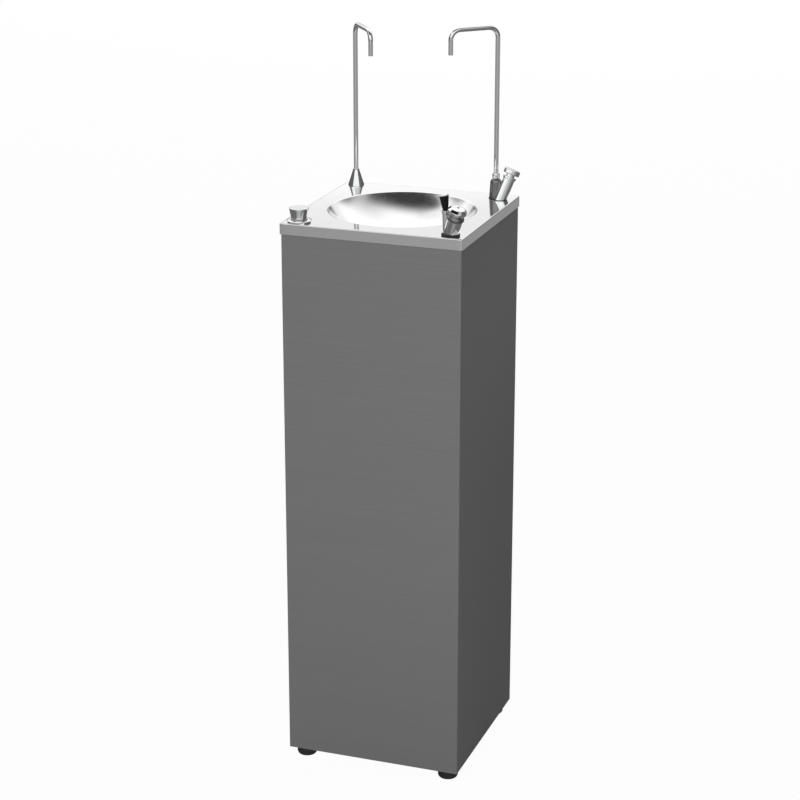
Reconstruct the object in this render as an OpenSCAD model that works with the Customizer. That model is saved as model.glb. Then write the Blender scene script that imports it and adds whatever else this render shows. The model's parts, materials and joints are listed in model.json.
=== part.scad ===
// Pedestal water cooler for a mains supply: a square sheet-steel cabinet on four levelling feet,
// a stainless top with a drawn bowl, two swivelling glass spouts, a push knob, a push tap and a
// drinking bubbler with a mouth guard. The cooling unit and the water circuit are inside.
// Millimetres. The origin is on the floor under the middle of the cabinet, the front faces -Y.

/* [Cabinet] */
// width of the cabinet
cabinet_w = 310; // [306:1:380]
// depth of the cabinet
cabinet_d = 310; // [306:1:380]
// height from the lower edge of the cabinet to the top surface
body_h = 949; // [930:1:1150]
// thickness of the cabinet sheet
sheet_t = 1; // [0.8:0.1:1.5]
// outer radius of the folds at the front edges
fold_r = 2; // [1.8:0.1:4]
// how far the rear panel is set in from the rear edge
niche_d = 24; // [23:1:30]
// distance from the top surface down to the upper ledge of the rear panel
niche_drop = 80; // [75:1:120]
// width of the flanges that the rear panel is screwed to
screw_flange = 18; // [15:1:22]

/* [Base and feet] */
// clear height of the cabinet above the floor
foot_h = 18; // [17:1:24]
// radius of a foot pad
foot_r = 17.5; // [12:0.5:20]
// height of a foot pad
pad_h = 14; // [10:0.5:15]
// distance of a foot's axis from the cabinet faces
foot_inset = 24; // [22:1:30]
// radius of a foot's stud
stud_r = 4; // [3:0.5:5]
// thickness of the base tray
tray_t = 1.5; // [1:0.1:2.5]
// height of the rim of the base tray
tray_rim = 25; // [18:1:30]

/* [Top and bowl] */
// how far the top stands over the cabinet on each side
lid_overhang = 2; // [1.8:0.1:4]
// height of the skirt of the top
skirt_h = 18.6; // [12:0.2:30]
// thickness of the top sheet
lid_t = 1.2; // [0.8:0.1:1.6]
// outer radius of the folded edge of the top
edge_r = 2; // [1.7:0.1:4]
// radius at which the flat top rolls into the bowl
bowl_r = 126; // [110:1:128]
// depth of the bowl under the top, as a full arc
bowl_depth = 62; // [45:1:75]
// radius of the rolled lip of the bowl
lip_r = 7; // [4:0.5:10]
// radius of the flat seat around the waste
seat_r = 34; // [33:0.5:40]

/* [Waste] */
// radius of the waste tail
waste_r = 20; // [16:0.5:24]
// radius of the waste flange
waste_flange_r = 32; // [28:0.5:32.5]
// radius of the drain hose
hose_r = 11; // [9:0.5:12]
// wall of the drain hose
hose_wall = 2.5; // [1.5:0.1:3]

/* [Deck fittings] */
// radius of the shanks that go through the top
shank_r = 8; // [6:0.5:8.5]
// length of the shanks from the top surface down
shank_l = 45; // [35:1:50]

/* [Glass spouts] */
// radius of the spout tube
spout_r = 4; // [3:0.1:4.5]
// wall of the spout tube
spout_wall = 0.8; // [0.5:0.1:1.2]
// bend radius of the spout on its axis
spout_bend = 17; // [9:0.5:19]
// reach of the spout from its riser to its mouth
spout_reach = 86; // [60:1:110]
// height of the spout from its lower end to the axis of its arm
spout_h = 271; // [180:1:320]
// drop of the spout mouth under the axis of its arm
spout_drop = 41; // [25:1:70]
// distance of the filler from the left face
filler_inset_x = 22; // [21:1:34]
// distance of the filler from the rear face
filler_inset_y = 20; // [19:1:34]
// radius of the foot of the filler base
filler_r = 14; // [11:0.5:16]
// height of the filler base
filler_h = 30; // [26:1:46]

/* [Push knob] */
// distance of the knob from the left face
knob_inset_x = 25; // [22:0.5:34]
// distance of the knob from the front face
knob_inset_y = 19; // [18.5:0.5:30]
// radius of the rose under the knob
rose_r = 20.5; // [18:0.5:22]
// height of the rose
rose_h = 4; // [3:0.5:6]
// radius of the knob at its top
knob_r = 16.5; // [15:0.5:18]
// radius of the knob at its waist
waist_r = 13.2; // [11.5:0.1:14]
// height of the knob
knob_h = 19; // [17:0.5:24]
// travel of the knob
knob_travel = 3.5; // [2:0.1:3.7]

/* [Push tap] */
// distance of the tap from the right face
tap_inset_x = 31; // [30:1:40]
// distance of the tap from the rear face
tap_inset_y = 30; // [29:1:40]
// radius of the tap riser at the top surface
tap_r = 11.5; // [10.5:0.5:14]
// radius of the tap riser at its neck
tap_neck_r = 9.5; // [8:0.5:11]
// height of the neck of the tap riser
tap_neck_h = 33; // [28:1:40]
// radius of the collar nut on the tap
tap_collar_r = 6.5; // [5.5:0.1:8]
// height of the collar nut on the tap
tap_collar_h = 11; // [8:0.5:14]
// radius of the slanted barrel of the tap
barrel_r = 10; // [9.5:0.5:11]
// length of the slanted barrel
barrel_l = 41.5; // [38:0.5:48]
// lean of the barrel from upright
barrel_lean = 24.5; // [15:0.5:30]
// compass turn of the barrel from +X towards +Y
barrel_turn = 42; // [0:1:60]
// distance from the riser axis to the foot of the barrel axis
barrel_offset = 13; // [11:0.5:14]
// radius of the tap's push button
tap_cap_r = 13.8; // [12.5:0.1:16]
// height of the tap's push button
tap_cap_h = 9; // [7:0.5:12]
// travel of the tap's push button
tap_travel = 4; // [2:0.1:5]

/* [Bubbler] */
// distance of the bubbler from the right face
bubbler_inset_x = 23.5; // [20:0.5:34]
// distance of the bubbler from the front face
bubbler_inset_y = 16; // [15.5:0.5:30]
// radius of the bubbler's foot ring
ring_r = 15.1; // [15:0.1:17]
// height of the bubbler's foot ring
ring_h = 3; // [2:0.5:5]
// radius of the bubbler's pillar at its foot
pillar_r = 12; // [11.5:0.1:13]
// radius of the bubbler's pillar at its top
pillar_top_r = 13; // [12.5:0.1:14]
// length of the pillar on its axis
pillar_l = 29; // [27:0.5:36]
// lean of the pillar from upright
pillar_lean = 19.5; // [10:0.5:25]
// compass turn of the pillar from +X towards +Y
pillar_turn = -28; // [-60:1:0]
// radius of the pillar's collar
collar_r = 14.3; // [14.2:0.1:16]
// height of the pillar's collar
collar_h = 8; // [6:0.5:10]
// radius of the bubbler button
button_r = 15.6; // [14:0.1:18]
// height of the bubbler button
button_h = 10; // [8:0.5:13]
// travel of the bubbler button
button_travel = 4; // [2:0.1:4.5]
// radius of the bubbler's water riser
riser_r = 6; // [5:0.1:7]
// length of the bubbler's water riser
riser_l = 36; // [30:0.5:42]
// length of the mouth guard
hood_l = 24.5; // [22:0.5:38]
// radius of the mouth guard at its rim
hood_r = 9; // [7:0.5:11]

/* [Cooling unit] */
// radius of the compressor shell
comp_r = 58; // [50:1:62]
// height of the compressor shell
comp_h = 152; // [130:1:170]
// number of condenser fins
fin_count = 24; // [12:2:24]
// height of the condenser fins
fin_h = 192; // [186:1:196]
// radius of the fan
fan_r = 78; // [60:1:80]
// width of the channel for hoses between the insulation and the side of the cabinet
hose_channel = 37; // [36:1:45]
// gap between the insulation and the rear panel
foam_gap = 12; // [2:1:20]
// height of the straight wall of the water tank
tank_h = 210; // [150:1:230]
// turns of the evaporator coil
coil_turns = 11; // [5:1:12]
// radius of the copper lines
line_r = 4; // [3:0.1:4.2]
// thickness of the tank insulation at its thinnest
foam_wall = 31; // [24:1:40]
// height of the tank shelf above the floor
shelf_z = 330; // [325:1:360]

/* [Water lines] */
// radius of the water tubes
tube_r = 4; // [4:0.1:4.5]
// wall of the water tubes
tube_wall = 1; // [0.8:0.1:1]
// height of the connections at the rear
service_z = 285; // [282:1:290]
// radius of the water inlet thread
inlet_r = 10.4; // [8:0.1:10.5]
// radius of the drain spigot
spigot_r = 12.5; // [10:0.5:12.5]

/* [Hidden] */
$fn = 96;
// running clearance of sliding and turning parts
run = 0.06;
// gap between parts that are pushed together by hand
fit = 0.3;
// overshoot of cutting tools
cut = 1;

half_w = cabinet_w / 2;
half_d = cabinet_d / 2;
// gap of the tray and the shelf to the wrap, which clears its inner fold radius
wrap_gap = fit + 0.3 * (fold_r - sheet_t);
z_lid = foot_h + body_h;
z_under = z_lid - lid_t;
z_rim = foot_h + tray_rim;

// rear panel: its outer and inner face, and the heights of the niche behind it
panel_y = half_d - niche_d;
inner_y = panel_y - sheet_t;
niche_z0 = z_rim + 5;
niche_z1 = z_lid - niche_drop;
joggle_w = 8;
screw_x = half_w - joggle_w - 9;
screw_rows = 5;
function screw_z(i) = niche_z0 + 30 + i * (niche_z1 - niche_z0 - 60) / (screw_rows - 1);

foot_x = half_w - foot_inset;
foot_y = half_d - foot_inset;

filler_x = -(half_w - filler_inset_x);
filler_y = half_d - filler_inset_y;
knob_x = -(half_w - knob_inset_x);
knob_y = -(half_d - knob_inset_y);
tap_x = half_w - tap_inset_x;
tap_y = half_d - tap_inset_y;
bubbler_x = half_w - bubbler_inset_x;
bubbler_y = -(half_d - bubbler_inset_y);
deck_places = [[filler_x, filler_y], [knob_x, knob_y], [tap_x, tap_y], [bubbler_x, bubbler_y]];
deck_hole_r = shank_r + fit;

// the bowl is one sphere that runs tangent into the rolled lip
bowl_slope = 2 * atan(bowl_depth / bowl_r);
sphere_r = bowl_r / sin(bowl_slope) - lip_r;
sphere_z = z_lid - bowl_depth + sphere_r;
lip_end_r = sphere_r * sin(bowl_slope);
seat_z = sphere_z - sqrt(sphere_r * sphere_r - seat_r * seat_r);
// the wall under the seat follows the outside of the sphere
seat_under_r = sqrt(pow(sphere_r + lid_t, 2) - pow(sphere_z - seat_z + lid_t, 2));

// waste under the bowl
waste_hole_r = waste_r + fit;
waste_tail_z = seat_z - 45;
nipple_l = 14;
tail_nipple_r = (hose_r - hose_wall) * cos(15) - 0.1;
nipple_r = (tube_r - tube_wall) * cos(22.5) - 0.07;

// spouts turn towards the middle of the bowl
filler_socket_z = z_lid + 10;
tap_socket_z = z_lid + 20;
filler_turn = -52;
tap_turn = -137;
barrel_place = -35;
socket_r = spout_r + run;

// push knob
knob_foot_z = z_lid + rose_h + 0.5;
knob_foot_r = 13.6;
web_t = 0.6;
knob_cup_r = 9.5;
knob_cup_h = 12;
stem_r = 3;
valve_r = 11;
valve_l = 34;

// slanted barrel of the tap, along its own axis
tap_ring_r = barrel_r + 1.4;
tap_ring_h = 4;
tap_chamber_r = 7.2;
tap_chamber_s = 20;
tap_cap_s = barrel_l + tap_travel + 0.4;
tap_boss_s = barrel_l - 4;

// pillar of the bubbler, along its own axis
button_bore_r = 9.6;
button_floor_s = 20;
collar_top_s = pillar_l + collar_h;
button_s = collar_top_s + button_travel + 0.4;
button_boss_s = collar_top_s - 4;
riser_offset = 9;
riser_lean = 5.5;
hood_lean = 9;
hood_t = 1.2;
hood_ring_h = 3;

// condenser, fan and shroud stand against the louvres of the rear panel
pass_count = 6;
pass_pitch = 32;
fin_t = 0.6;
fin_z = foot_h + 42;
fin_d = 42;
fin_y1 = inner_y - 8;
fin_y0 = fin_y1 - fin_d;
fin_span = cabinet_w - 120;
fin_pitch = fin_span / (fin_count - 1);
pass_y = fin_y1 - fin_d / 2;
pass_z0 = fin_z + (fin_h - pass_pitch * (pass_count - 1)) / 2;
pass_end = fin_span / 2 + 6;
function pass_z(i) = pass_z0 + i * pass_pitch;
shroud_y = fin_y0 - 12;
shroud_t = 2;
fan_z = fin_z + fin_h / 2;
collar_l = 24;
fan_hub_r = 20;
fan_hub_l = 15;
motor_r = 29;
motor_l = 36;
spider_y = shroud_y - collar_l;
drier_x = -pass_end - 32;
drier_z0 = pass_z(0) + 24;
drier_l = 78;

// compressor and its mounts, midway between the front and the fan motor
motor_end_y = spider_y + 5 - motor_l - 4;
comp_x = -8;
comp_y = (motor_end_y - half_d + sheet_t) / 2;
comp_span_x = 156;
comp_span_y = 76;
grommet_h = 15;
plate_z = foot_h + tray_t + 8.3;
plate_t = 2.5;
comp_z = plate_z + plate_t;
seam_h = comp_h * 0.52;
seam_t = 4;
relay_h = 42;
stub_x = comp_x - comp_r - 13;
suction_stub = [stub_x, comp_y - 16, comp_z + comp_h * 0.78];
discharge_stub = [stub_x, comp_y + 18, comp_z + comp_h * 0.68];

// shelf, tank and insulation
shelf_t = 1.2;
shelf_lip = 18;
foam_z0 = shelf_z + shelf_t;
foam_half_x = half_w - hose_channel;
foam_half_y = inner_y - foam_gap;
cavity_r = min(foam_half_x, foam_half_y) - foam_wall;
coil_room = 4;
tank_r = cavity_r - 2 * line_r - coil_room;
tank_dome = 16;
tank_z0 = foam_z0 + 24;
tank_z1 = tank_z0 + tank_h + 2 * tank_dome;
foam_z1 = tank_z1 + 30;
tank_stub_x = tank_r - 40;
tank_stub_r = 6;
tank_stub_z = foam_z1 + 14;
// the coil is wound in flat steps, so its corners stand out a little from the tank
coil_steps = 24;
coil_r = (tank_r + line_r + 0.3) / cos(180 / coil_steps);
coil_z0 = tank_z0 + tank_dome + 12;
coil_z1 = coil_z0 + tank_h - 24;
lead_turn = 50;
lead_x = foam_half_x + 6;

// tube runs beside the insulation
service_inset = 43;
run_x = half_w - 20;
line_x = half_w - 16;
suction_y = -50;
inlet_run_y = inner_y - 54;
hose_run_y = 40;
inlet_x = -(half_w - service_inset);
spigot_x = half_w - service_inset;
power_x = 0;
manifold_z = tank_stub_z + 24;
manifold_r = 10;
manifold_x = tank_stub_x;
// compass turns of the manifold's outlets to the tap, the bubbler and the knob valve
outlet_turns = [20, 290, 225];
tail_z = z_lid - shank_l;
tube_bend = 18;
line_bend = 9;
valve_port_z = tail_z - 17;
valve_foot_z = tail_z - valve_l;

// thermostat at the rear, over the insulation
stat_x = half_w - 71;
stat_z = foam_z1 + 50;
stat_knob_r = 13;

steel_grey = [0.44, 0.45, 0.46];
chrome_tone = [0.82, 0.83, 0.84];
zinc_tone = [0.70, 0.71, 0.72];
copper_tone = [0.72, 0.45, 0.28];
black_tone = [0.05, 0.05, 0.05];
foam_tone = [0.95, 0.95, 0.93];
tube_tone = [0.88, 0.90, 0.92];
brass_tone = [0.75, 0.62, 0.32];

function unit(v) = v / norm(v);
function turn_at(p, i) = acos(min(1, unit(p[i] - p[i - 1]) * unit(p[i + 1] - p[i])));

// points of the arc that rounds corner i of a route, or the corner itself where it runs straight
function corner_arc(p, i, bend, steps) =
  let (turn = turn_at(p, i), a = unit(p[i] - p[i - 1]), b = unit(p[i + 1] - p[i]))
  turn < 1 ? [p[i]] :
  let (n = unit(b - (a * b) * a), start = p[i] - a * bend * tan(turn / 2), mid = start + n * bend)
  [for (k = [0 : steps]) let (s = turn * k / steps) mid - n * bend * cos(s) + a * bend * sin(s)];

function rounded(p, bend, steps) =
  [p[0], for (i = [1 : len(p) - 2]) each corner_arc(p, i, bend, steps), p[len(p) - 1]];

function tangents(path) = let (n = len(path) - 1)
  [for (i = [0 : n]) unit(path[min(i + 1, n)] - path[max(i - 1, 0)])];

// a side direction for each ring, carried along the path without twist
function sides_along(tang, side, i = 0) = i == len(tang) ? [] :
  let (s = unit(side - (side * tang[i]) * tang[i])) concat([s], sides_along(tang, s, i + 1));

function first_side(t) = abs(t.z) > 0.9 ? [1, 0, 0] : cross(t, [0, 0, 1]);

function ring_points(at, t, s, r, count) = let (u = cross(s, t))
  [for (j = [0 : count - 1]) at + r * (cos(360 * j / count) * s + sin(360 * j / count) * u)];

// a solid rod along a path
module rod(path, r, count) {
  rings = len(path);
  tang = tangents(path);
  side = sides_along(tang, first_side(tang[0]));
  points = [for (i = [0 : rings - 1]) each ring_points(path[i], tang[i], side[i], r, count)];
  last = (rings - 1) * count;
  wall = [for (i = [0 : rings - 2], j = [0 : count - 1])
    let (a = i * count + j, b = i * count + (j + 1) % count)
    each [[a, a + count, b], [b, a + count, b + count]]];
  caps = [for (j = [1 : count - 2]) each [[0, j, j + 1], [last, last + j + 1, last + j]]];
  polyhedron(points, concat(wall, caps));
}

// a tube with a bore along a path: each ring has its outer points first, then its inner points
module hose(path, r, bore, count) {
  rings = len(path);
  tang = tangents(path);
  side = sides_along(tang, first_side(tang[0]));
  points = [for (i = [0 : rings - 1]) each concat(
    ring_points(path[i], tang[i], side[i], r, count),
    ring_points(path[i], tang[i], side[i], bore, count))];
  step = 2 * count;
  last = (rings - 1) * step;
  outer = [for (i = [0 : rings - 2], j = [0 : count - 1])
    let (a = i * step + j, b = i * step + (j + 1) % count)
    each [[a, a + step, b], [b, a + step, b + step]]];
  inner = [for (f = outer) [f[0] + count, f[2] + count, f[1] + count]];
  ends = [for (j = [0 : count - 1]) let (k = (j + 1) % count) each [
    [j, k, j + count], [k, k + count, j + count],
    [last + j, last + j + count, last + k], [last + k, last + j + count, last + k + count]]];
  polyhedron(points, concat(outer, inner, ends));
}

// puts children on an axis that leans from upright towards a compass turn
module leaning(x, y, z, turn, lean) {
  translate([x, y, z]) rotate([0, lean, turn]) children();
}

// turns a shape drawn upright so that its axis points to the rear
module rearwards(x, y, z) {
  translate([x, y, z]) rotate([-90, 0, 0]) children();
}

module tube(r, bore, h) {
  difference() {
    cylinder(r = r, h = h);
    translate([0, 0, -cut]) cylinder(r = bore, h = h + 2 * cut);
  }
}

module hex_nut(r, bore, h) {
  difference() {
    cylinder(r = r, h = h, $fn = 6);
    translate([0, 0, -cut]) cylinder(r = bore, h = h + 2 * cut);
  }
}

module helix_spring(mean_r, wire_r, z0, z1, turns) {
  steps = 10;
  count = turns * steps;
  path = [for (i = [0 : count]) let (a = 360 * i / steps)
    [mean_r * cos(a), mean_r * sin(a), z0 + wire_r + (z1 - z0 - 2 * wire_r) * i / count]];
  rod(path, wire_r, 6);
}

module base_tray() {
  w = cabinet_w - 2 * (sheet_t + wrap_gap);
  d = cabinet_d - 2 * (sheet_t + wrap_gap);
  slot_w = 60;
  color(zinc_tone) difference() {
    translate([-w / 2, -d / 2, foot_h]) cube([w, d, tray_rim]);
    translate([-w / 2 + tray_t, -d / 2 + tray_t, foot_h + tray_t])
      cube([w - 2 * tray_t, d - 2 * tray_t, tray_rim]);
    for (x = [-foot_x, foot_x], y = [-foot_y, foot_y])
      translate([x, y, foot_h - cut]) cylinder(r = stud_r + fit, h = tray_t + 2 * cut);
    for (x = [-1, 1], y = [-1, 1])
      translate([comp_x + x * comp_span_x / 2, comp_y + y * comp_span_y / 2, foot_h - cut])
        cylinder(r = 4.2, h = tray_t + 2 * cut);
    for (i = [0 : 3])
      translate([-slot_w / 2, pass_y - 15 + i * 12, foot_h - cut]) cube([slot_w, 5, tray_t + 2 * cut]);
  }
}

// plan of the folded wrap: front and sides from one sheet, with rounded front folds
module wrap_plan(inset, r) {
  w = half_w - inset;
  front = -half_d + inset;
  translate([-w, front + r]) square([2 * w, half_d - front - r]);
  translate([-w + r, front]) square([2 * (w - r), r + cut]);
  for (x = [-w + r, w - r]) translate([x, front + r]) circle(r);
}

module rear_return() {
  square_z = niche_z1 - niche_z0;
  translate([0, 0, niche_z0]) linear_extrude(square_z) {
    translate([half_w - joggle_w, half_d - sheet_t]) square([joggle_w, sheet_t]);
    translate([half_w - joggle_w, inner_y - sheet_t]) square([sheet_t, half_d - inner_y + sheet_t]);
    translate([half_w - joggle_w + sheet_t - screw_flange, inner_y - sheet_t])
      square([screw_flange, sheet_t]);
  }
}

module cabinet_shell() {
  tab_l = min(cabinet_w, cabinet_d) - 120;
  tab_w = 12;
  color(steel_grey) difference() {
    union() {
      translate([0, 0, foot_h]) linear_extrude(z_under - foot_h) difference() {
        wrap_plan(0, fold_r);
        wrap_plan(sheet_t, fold_r - sheet_t);
        translate([-half_w + sheet_t, 0]) square([cabinet_w - 2 * sheet_t, half_d + cut]);
      }
      rear_return();
      mirror([1, 0, 0]) rear_return();
      translate([-tab_l / 2, -half_d + sheet_t / 2, z_under - sheet_t]) cube([tab_l, tab_w, sheet_t]);
      for (x = [-half_w + sheet_t / 2, half_w - sheet_t / 2 - tab_w])
        translate([x, -tab_l / 2, z_under - sheet_t]) cube([tab_w, tab_l, sheet_t]);
    }
    for (x = [-screw_x, screw_x], i = [0 : screw_rows - 1])
      rearwards(x, inner_y - sheet_t - cut, screw_z(i)) cylinder(r = 2.1, h = sheet_t + 2 * cut);
  }
}

module rear_panel() {
  w = half_w - joggle_w - 0.5;
  ledge_d = half_d - panel_y - 2.2;
  crown_w = half_w - sheet_t - fit;
  crown_h = z_under - skirt_h / 2 - niche_z1;
  slot_w = 70;
  color(steel_grey) difference() {
    union() {
      translate([-w, inner_y, niche_z0 + 1]) cube([2 * w, sheet_t, niche_z1 - niche_z0 - 1]);
      translate([-w, panel_y - sheet_t, niche_z0 + 1]) cube([2 * w, ledge_d, sheet_t]);
      translate([-crown_w, inner_y, niche_z1]) cube([2 * crown_w, half_d - inner_y - 1.2, sheet_t]);
      translate([-crown_w, half_d - 1.2 - sheet_t, niche_z1]) cube([2 * crown_w, sheet_t, crown_h]);
    }
    for (x = [-screw_x, screw_x], i = [0 : screw_rows - 1])
      rearwards(x, inner_y - cut, screw_z(i)) cylinder(r = 2.1, h = sheet_t + 2 * cut);
    for (x = [-85, -5], i = [0 : 9])
      translate([x + 5, inner_y - cut, fin_z + 12 + i * 17]) cube([slot_w, sheet_t + 2 * cut, 6]);
    for (x = [-85, -5], i = [0 : 4])
      translate([x + 5, inner_y - cut, stat_z + 60 + i * 14]) cube([slot_w, sheet_t + 2 * cut, 6]);
    rearwards(inlet_x, inner_y - cut, service_z) cylinder(r = inlet_r + fit, h = sheet_t + 2 * cut);
    rearwards(spigot_x, inner_y - cut, service_z) cylinder(r = spigot_r + fit, h = sheet_t + 2 * cut);
    rearwards(stat_x, inner_y - cut, stat_z) cylinder(r = 5, h = sheet_t + 2 * cut);
    translate([power_x - 14, inner_y - cut, service_z - 10.3]) cube([28, sheet_t + 2 * cut, 20.6]);
  }
}

module rear_panel_screws() {
  color(zinc_tone) for (x = [-screw_x, screw_x], i = [0 : screw_rows - 1])
    rearwards(x, panel_y, screw_z(i)) {
      cylinder(r1 = 3.8, r2 = 2.6, h = 2.4);
      translate([0, 0, -8]) cylinder(r = 1.9, h = 8);
    }
}

// end view of the top: a flat sheet with folded edges on both sides
module lid_profile(w, h, r) {
  translate([-w / 2, 0]) square([w, h - r]);
  translate([-w / 2 + r, 0]) square([w - 2 * r, h]);
  for (x = [-w / 2 + r, w / 2 - r]) translate([x, h - r]) circle(r);
}

module lid_block(w, d, h, r) {
  intersection() {
    rotate([90, 0, 0]) linear_extrude(d, center = true) lid_profile(w, h, r);
    rotate([90, 0, 90]) linear_extrude(w, center = true) lid_profile(d, h, r);
  }
}

// section of the rolled lip between the flat top and the bowl
module lip_section() {
  reach = 2 * lip_r;
  translate([bowl_r, z_lid - lip_r]) intersection() {
    difference() {
      circle(lip_r);
      circle(lip_r - lid_t);
    }
    polygon([[0, 0], [0, reach], [-reach * tan(bowl_slope / 2), reach],
      [-reach * sin(bowl_slope), reach * cos(bowl_slope)]]);
  }
}

module worktop() {
  w = cabinet_w + 2 * lid_overhang;
  d = cabinet_d + 2 * lid_overhang;
  color(chrome_tone) {
    difference() {
      translate([0, 0, z_lid - skirt_h]) lid_block(w, d, skirt_h, edge_r);
      translate([0, 0, z_lid - skirt_h - cut])
        lid_block(w - 2 * lid_t, d - 2 * lid_t, skirt_h - lid_t + cut, edge_r - lid_t);
      translate([0, 0, z_under - cut]) cylinder(r = bowl_r, h = lid_t + 2 * cut);
      for (p = deck_places)
        translate([p.x, p.y, z_under - cut]) cylinder(r = deck_hole_r, h = lid_t + 2 * cut);
    }
    rotate_extrude() lip_section();
  }
}

module basin() {
  outer_r = sphere_r + lid_t;
  color(chrome_tone) rotate_extrude() {
    translate([0, sphere_z]) intersection() {
      difference() {
        circle(outer_r);
        circle(sphere_r);
      }
      polygon([[0, 0], [outer_r * 2 * sin(bowl_slope), -outer_r * 2 * cos(bowl_slope)], [0, -outer_r * 4]]);
      translate([seat_r, -outer_r * 2]) square([outer_r, outer_r * 2]);
    }
    translate([waste_hole_r, seat_z - lid_t]) square([seat_under_r - waste_hole_r, lid_t]);
  }
}

module tank_shelf() {
  w = cabinet_w - 2 * (sheet_t + wrap_gap);
  y0 = -half_d + sheet_t + wrap_gap;
  d = inner_y - sheet_t - fit - y0;
  lip_z = shelf_z - shelf_lip;
  color(zinc_tone) difference() {
    translate([-w / 2, y0, lip_z]) cube([w, d, shelf_lip + shelf_t]);
    translate([-w / 2 + shelf_t, y0 + shelf_t, lip_z - cut])
      cube([w - 2 * shelf_t, d - 2 * shelf_t, shelf_lip + cut]);
    translate([run_x, hose_run_y, shelf_z - cut]) cylinder(r = hose_r + 1, h = shelf_t + 2 * cut);
    translate([-run_x, inlet_run_y, shelf_z - cut]) cylinder(r = tube_r + 1, h = shelf_t + 2 * cut);
    translate([-line_x, suction_y, shelf_z - cut]) cylinder(r = line_r + 1, h = shelf_t + 2 * cut);
    translate([-line_x, 0, shelf_z - cut]) cylinder(r = 2.5, h = shelf_t + 2 * cut);
  }
}

module foot(x, y) {
  edge = 2;
  hex_h = foot_h - fit - pad_h;
  stud_top = foot_h + tray_t + 22;
  color(black_tone) translate([x, y, 0]) {
    rotate_extrude() polygon([[0, 0], [foot_r - edge, 0], [foot_r, edge], [foot_r, pad_h - edge],
      [foot_r - edge, pad_h], [0, pad_h]]);
    translate([0, 0, pad_h]) cylinder(r = 9, h = hex_h, $fn = 6);
    translate([0, 0, pad_h]) cylinder(r = stud_r, h = stud_top - pad_h);
  }
}

module foot_front_left() foot(-foot_x, -foot_y);
module foot_front_right() foot(foot_x, -foot_y);
module foot_rear_left() foot(-foot_x, foot_y);
module foot_rear_right() foot(foot_x, foot_y);

module foot_nuts() {
  color(zinc_tone) for (x = [-foot_x, foot_x], y = [-foot_y, foot_y])
    translate([x, y, foot_h + tray_t]) hex_nut(stud_r * 1.95, stud_r + 0.1, stud_r * 1.6);
}

module basin_strainer() {
  plate_r = waste_r + 4;
  color(chrome_tone) translate([0, 0, seat_z + 1.4]) difference() {
    cylinder(r = plate_r, h = 1.5);
    translate([0, 0, -cut]) cylinder(r = 2.2, h = 4);
    for (ring = [1, 2], i = [0 : 6 * ring - 1]) rotate(i * 60 / ring)
      translate([ring * 6.2, 0, -cut]) cylinder(r = 2.2, h = 4);
  }
}

module waste_body() {
  bore_r = waste_r - 2.5;
  tail = waste_tail_z - seat_z;
  color(chrome_tone) translate([0, 0, seat_z]) rotate_extrude() polygon([
    [bore_r, 1.3], [waste_r + 4.2, 1.3], [waste_r + 4.2, 3], [waste_r + 4.5, 3], [waste_flange_r - 0.6, 1.2],
    [waste_flange_r, 0], [waste_r, 0], [waste_r, tail], [tail_nipple_r, tail - 8],
    [tail_nipple_r, tail - 8 - nipple_l], [tail_nipple_r - 1.5, tail - 8 - nipple_l],
    [tail_nipple_r - 1.5, tail - 7], [bore_r, tail + 2]]);
}

module waste_nut() {
  color(black_tone) translate([0, 0, seat_z - lid_t]) {
    translate([0, 0, -2]) tube(waste_r + 9, waste_r + 0.2, 2);
    translate([0, 0, -12]) hex_nut(waste_r + 12, waste_r + 0.1, 10);
  }
}

module drain_hose() {
  top_z = waste_tail_z - 8.3;
  route = [[0, 0, top_z], [0, 0, top_z - 42], [run_x, hose_run_y, top_z - 66],
    [run_x, hose_run_y, service_z], [spigot_x, inner_y - 46, service_z], [spigot_x, inner_y - 8, service_z]];
  color(black_tone) hose(rounded(route, 22, 5), hose_r, hose_r - hose_wall, 12);
}

module drain_outlet() {
  bore_r = tail_nipple_r - 1.5;
  color(black_tone) rearwards(spigot_x, panel_y, service_z) {
    tube(spigot_r + 5, bore_r, 3);
    tube(spigot_r, bore_r, half_d - panel_y - 3);
    translate([0, 0, -sheet_t - 6]) tube(spigot_r, bore_r, sheet_t + 6.5);
    translate([0, 0, -sheet_t - 6 - nipple_l]) tube(tail_nipple_r, bore_r, nipple_l + 0.5);
    translate([0, 0, -sheet_t - 5]) hex_nut(spigot_r + 5.5, spigot_r + 0.1, 5);
  }
}

// shank through the top, with a hose tail at its lower end
module shank(x, y, top_z) {
  translate([x, y, tail_z]) cylinder(r = shank_r, h = top_z - tail_z);
  translate([x, y, tail_z - nipple_l]) cylinder(r = nipple_r, h = nipple_l + 0.5);
}

module water_way(x, y, top_z) {
  translate([x, y, tail_z - nipple_l - cut]) cylinder(r = 1.6, h = top_z - tail_z + nipple_l + cut);
}

module filler_base() {
  top_r = spout_r + 1.2;
  lip = 2;
  color(chrome_tone) difference() {
    union() {
      translate([filler_x, filler_y, z_lid]) rotate_extrude() polygon([[0, 0], [filler_r, 0],
        [filler_r, lip], [top_r, filler_h - lip], [top_r, filler_h], [0, filler_h]]);
      shank(filler_x, filler_y, z_lid + 0.5);
    }
    translate([filler_x, filler_y, filler_socket_z - fit]) cylinder(r = socket_r, h = filler_h + cut);
    water_way(filler_x, filler_y, filler_socket_z);
  }
}

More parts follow.
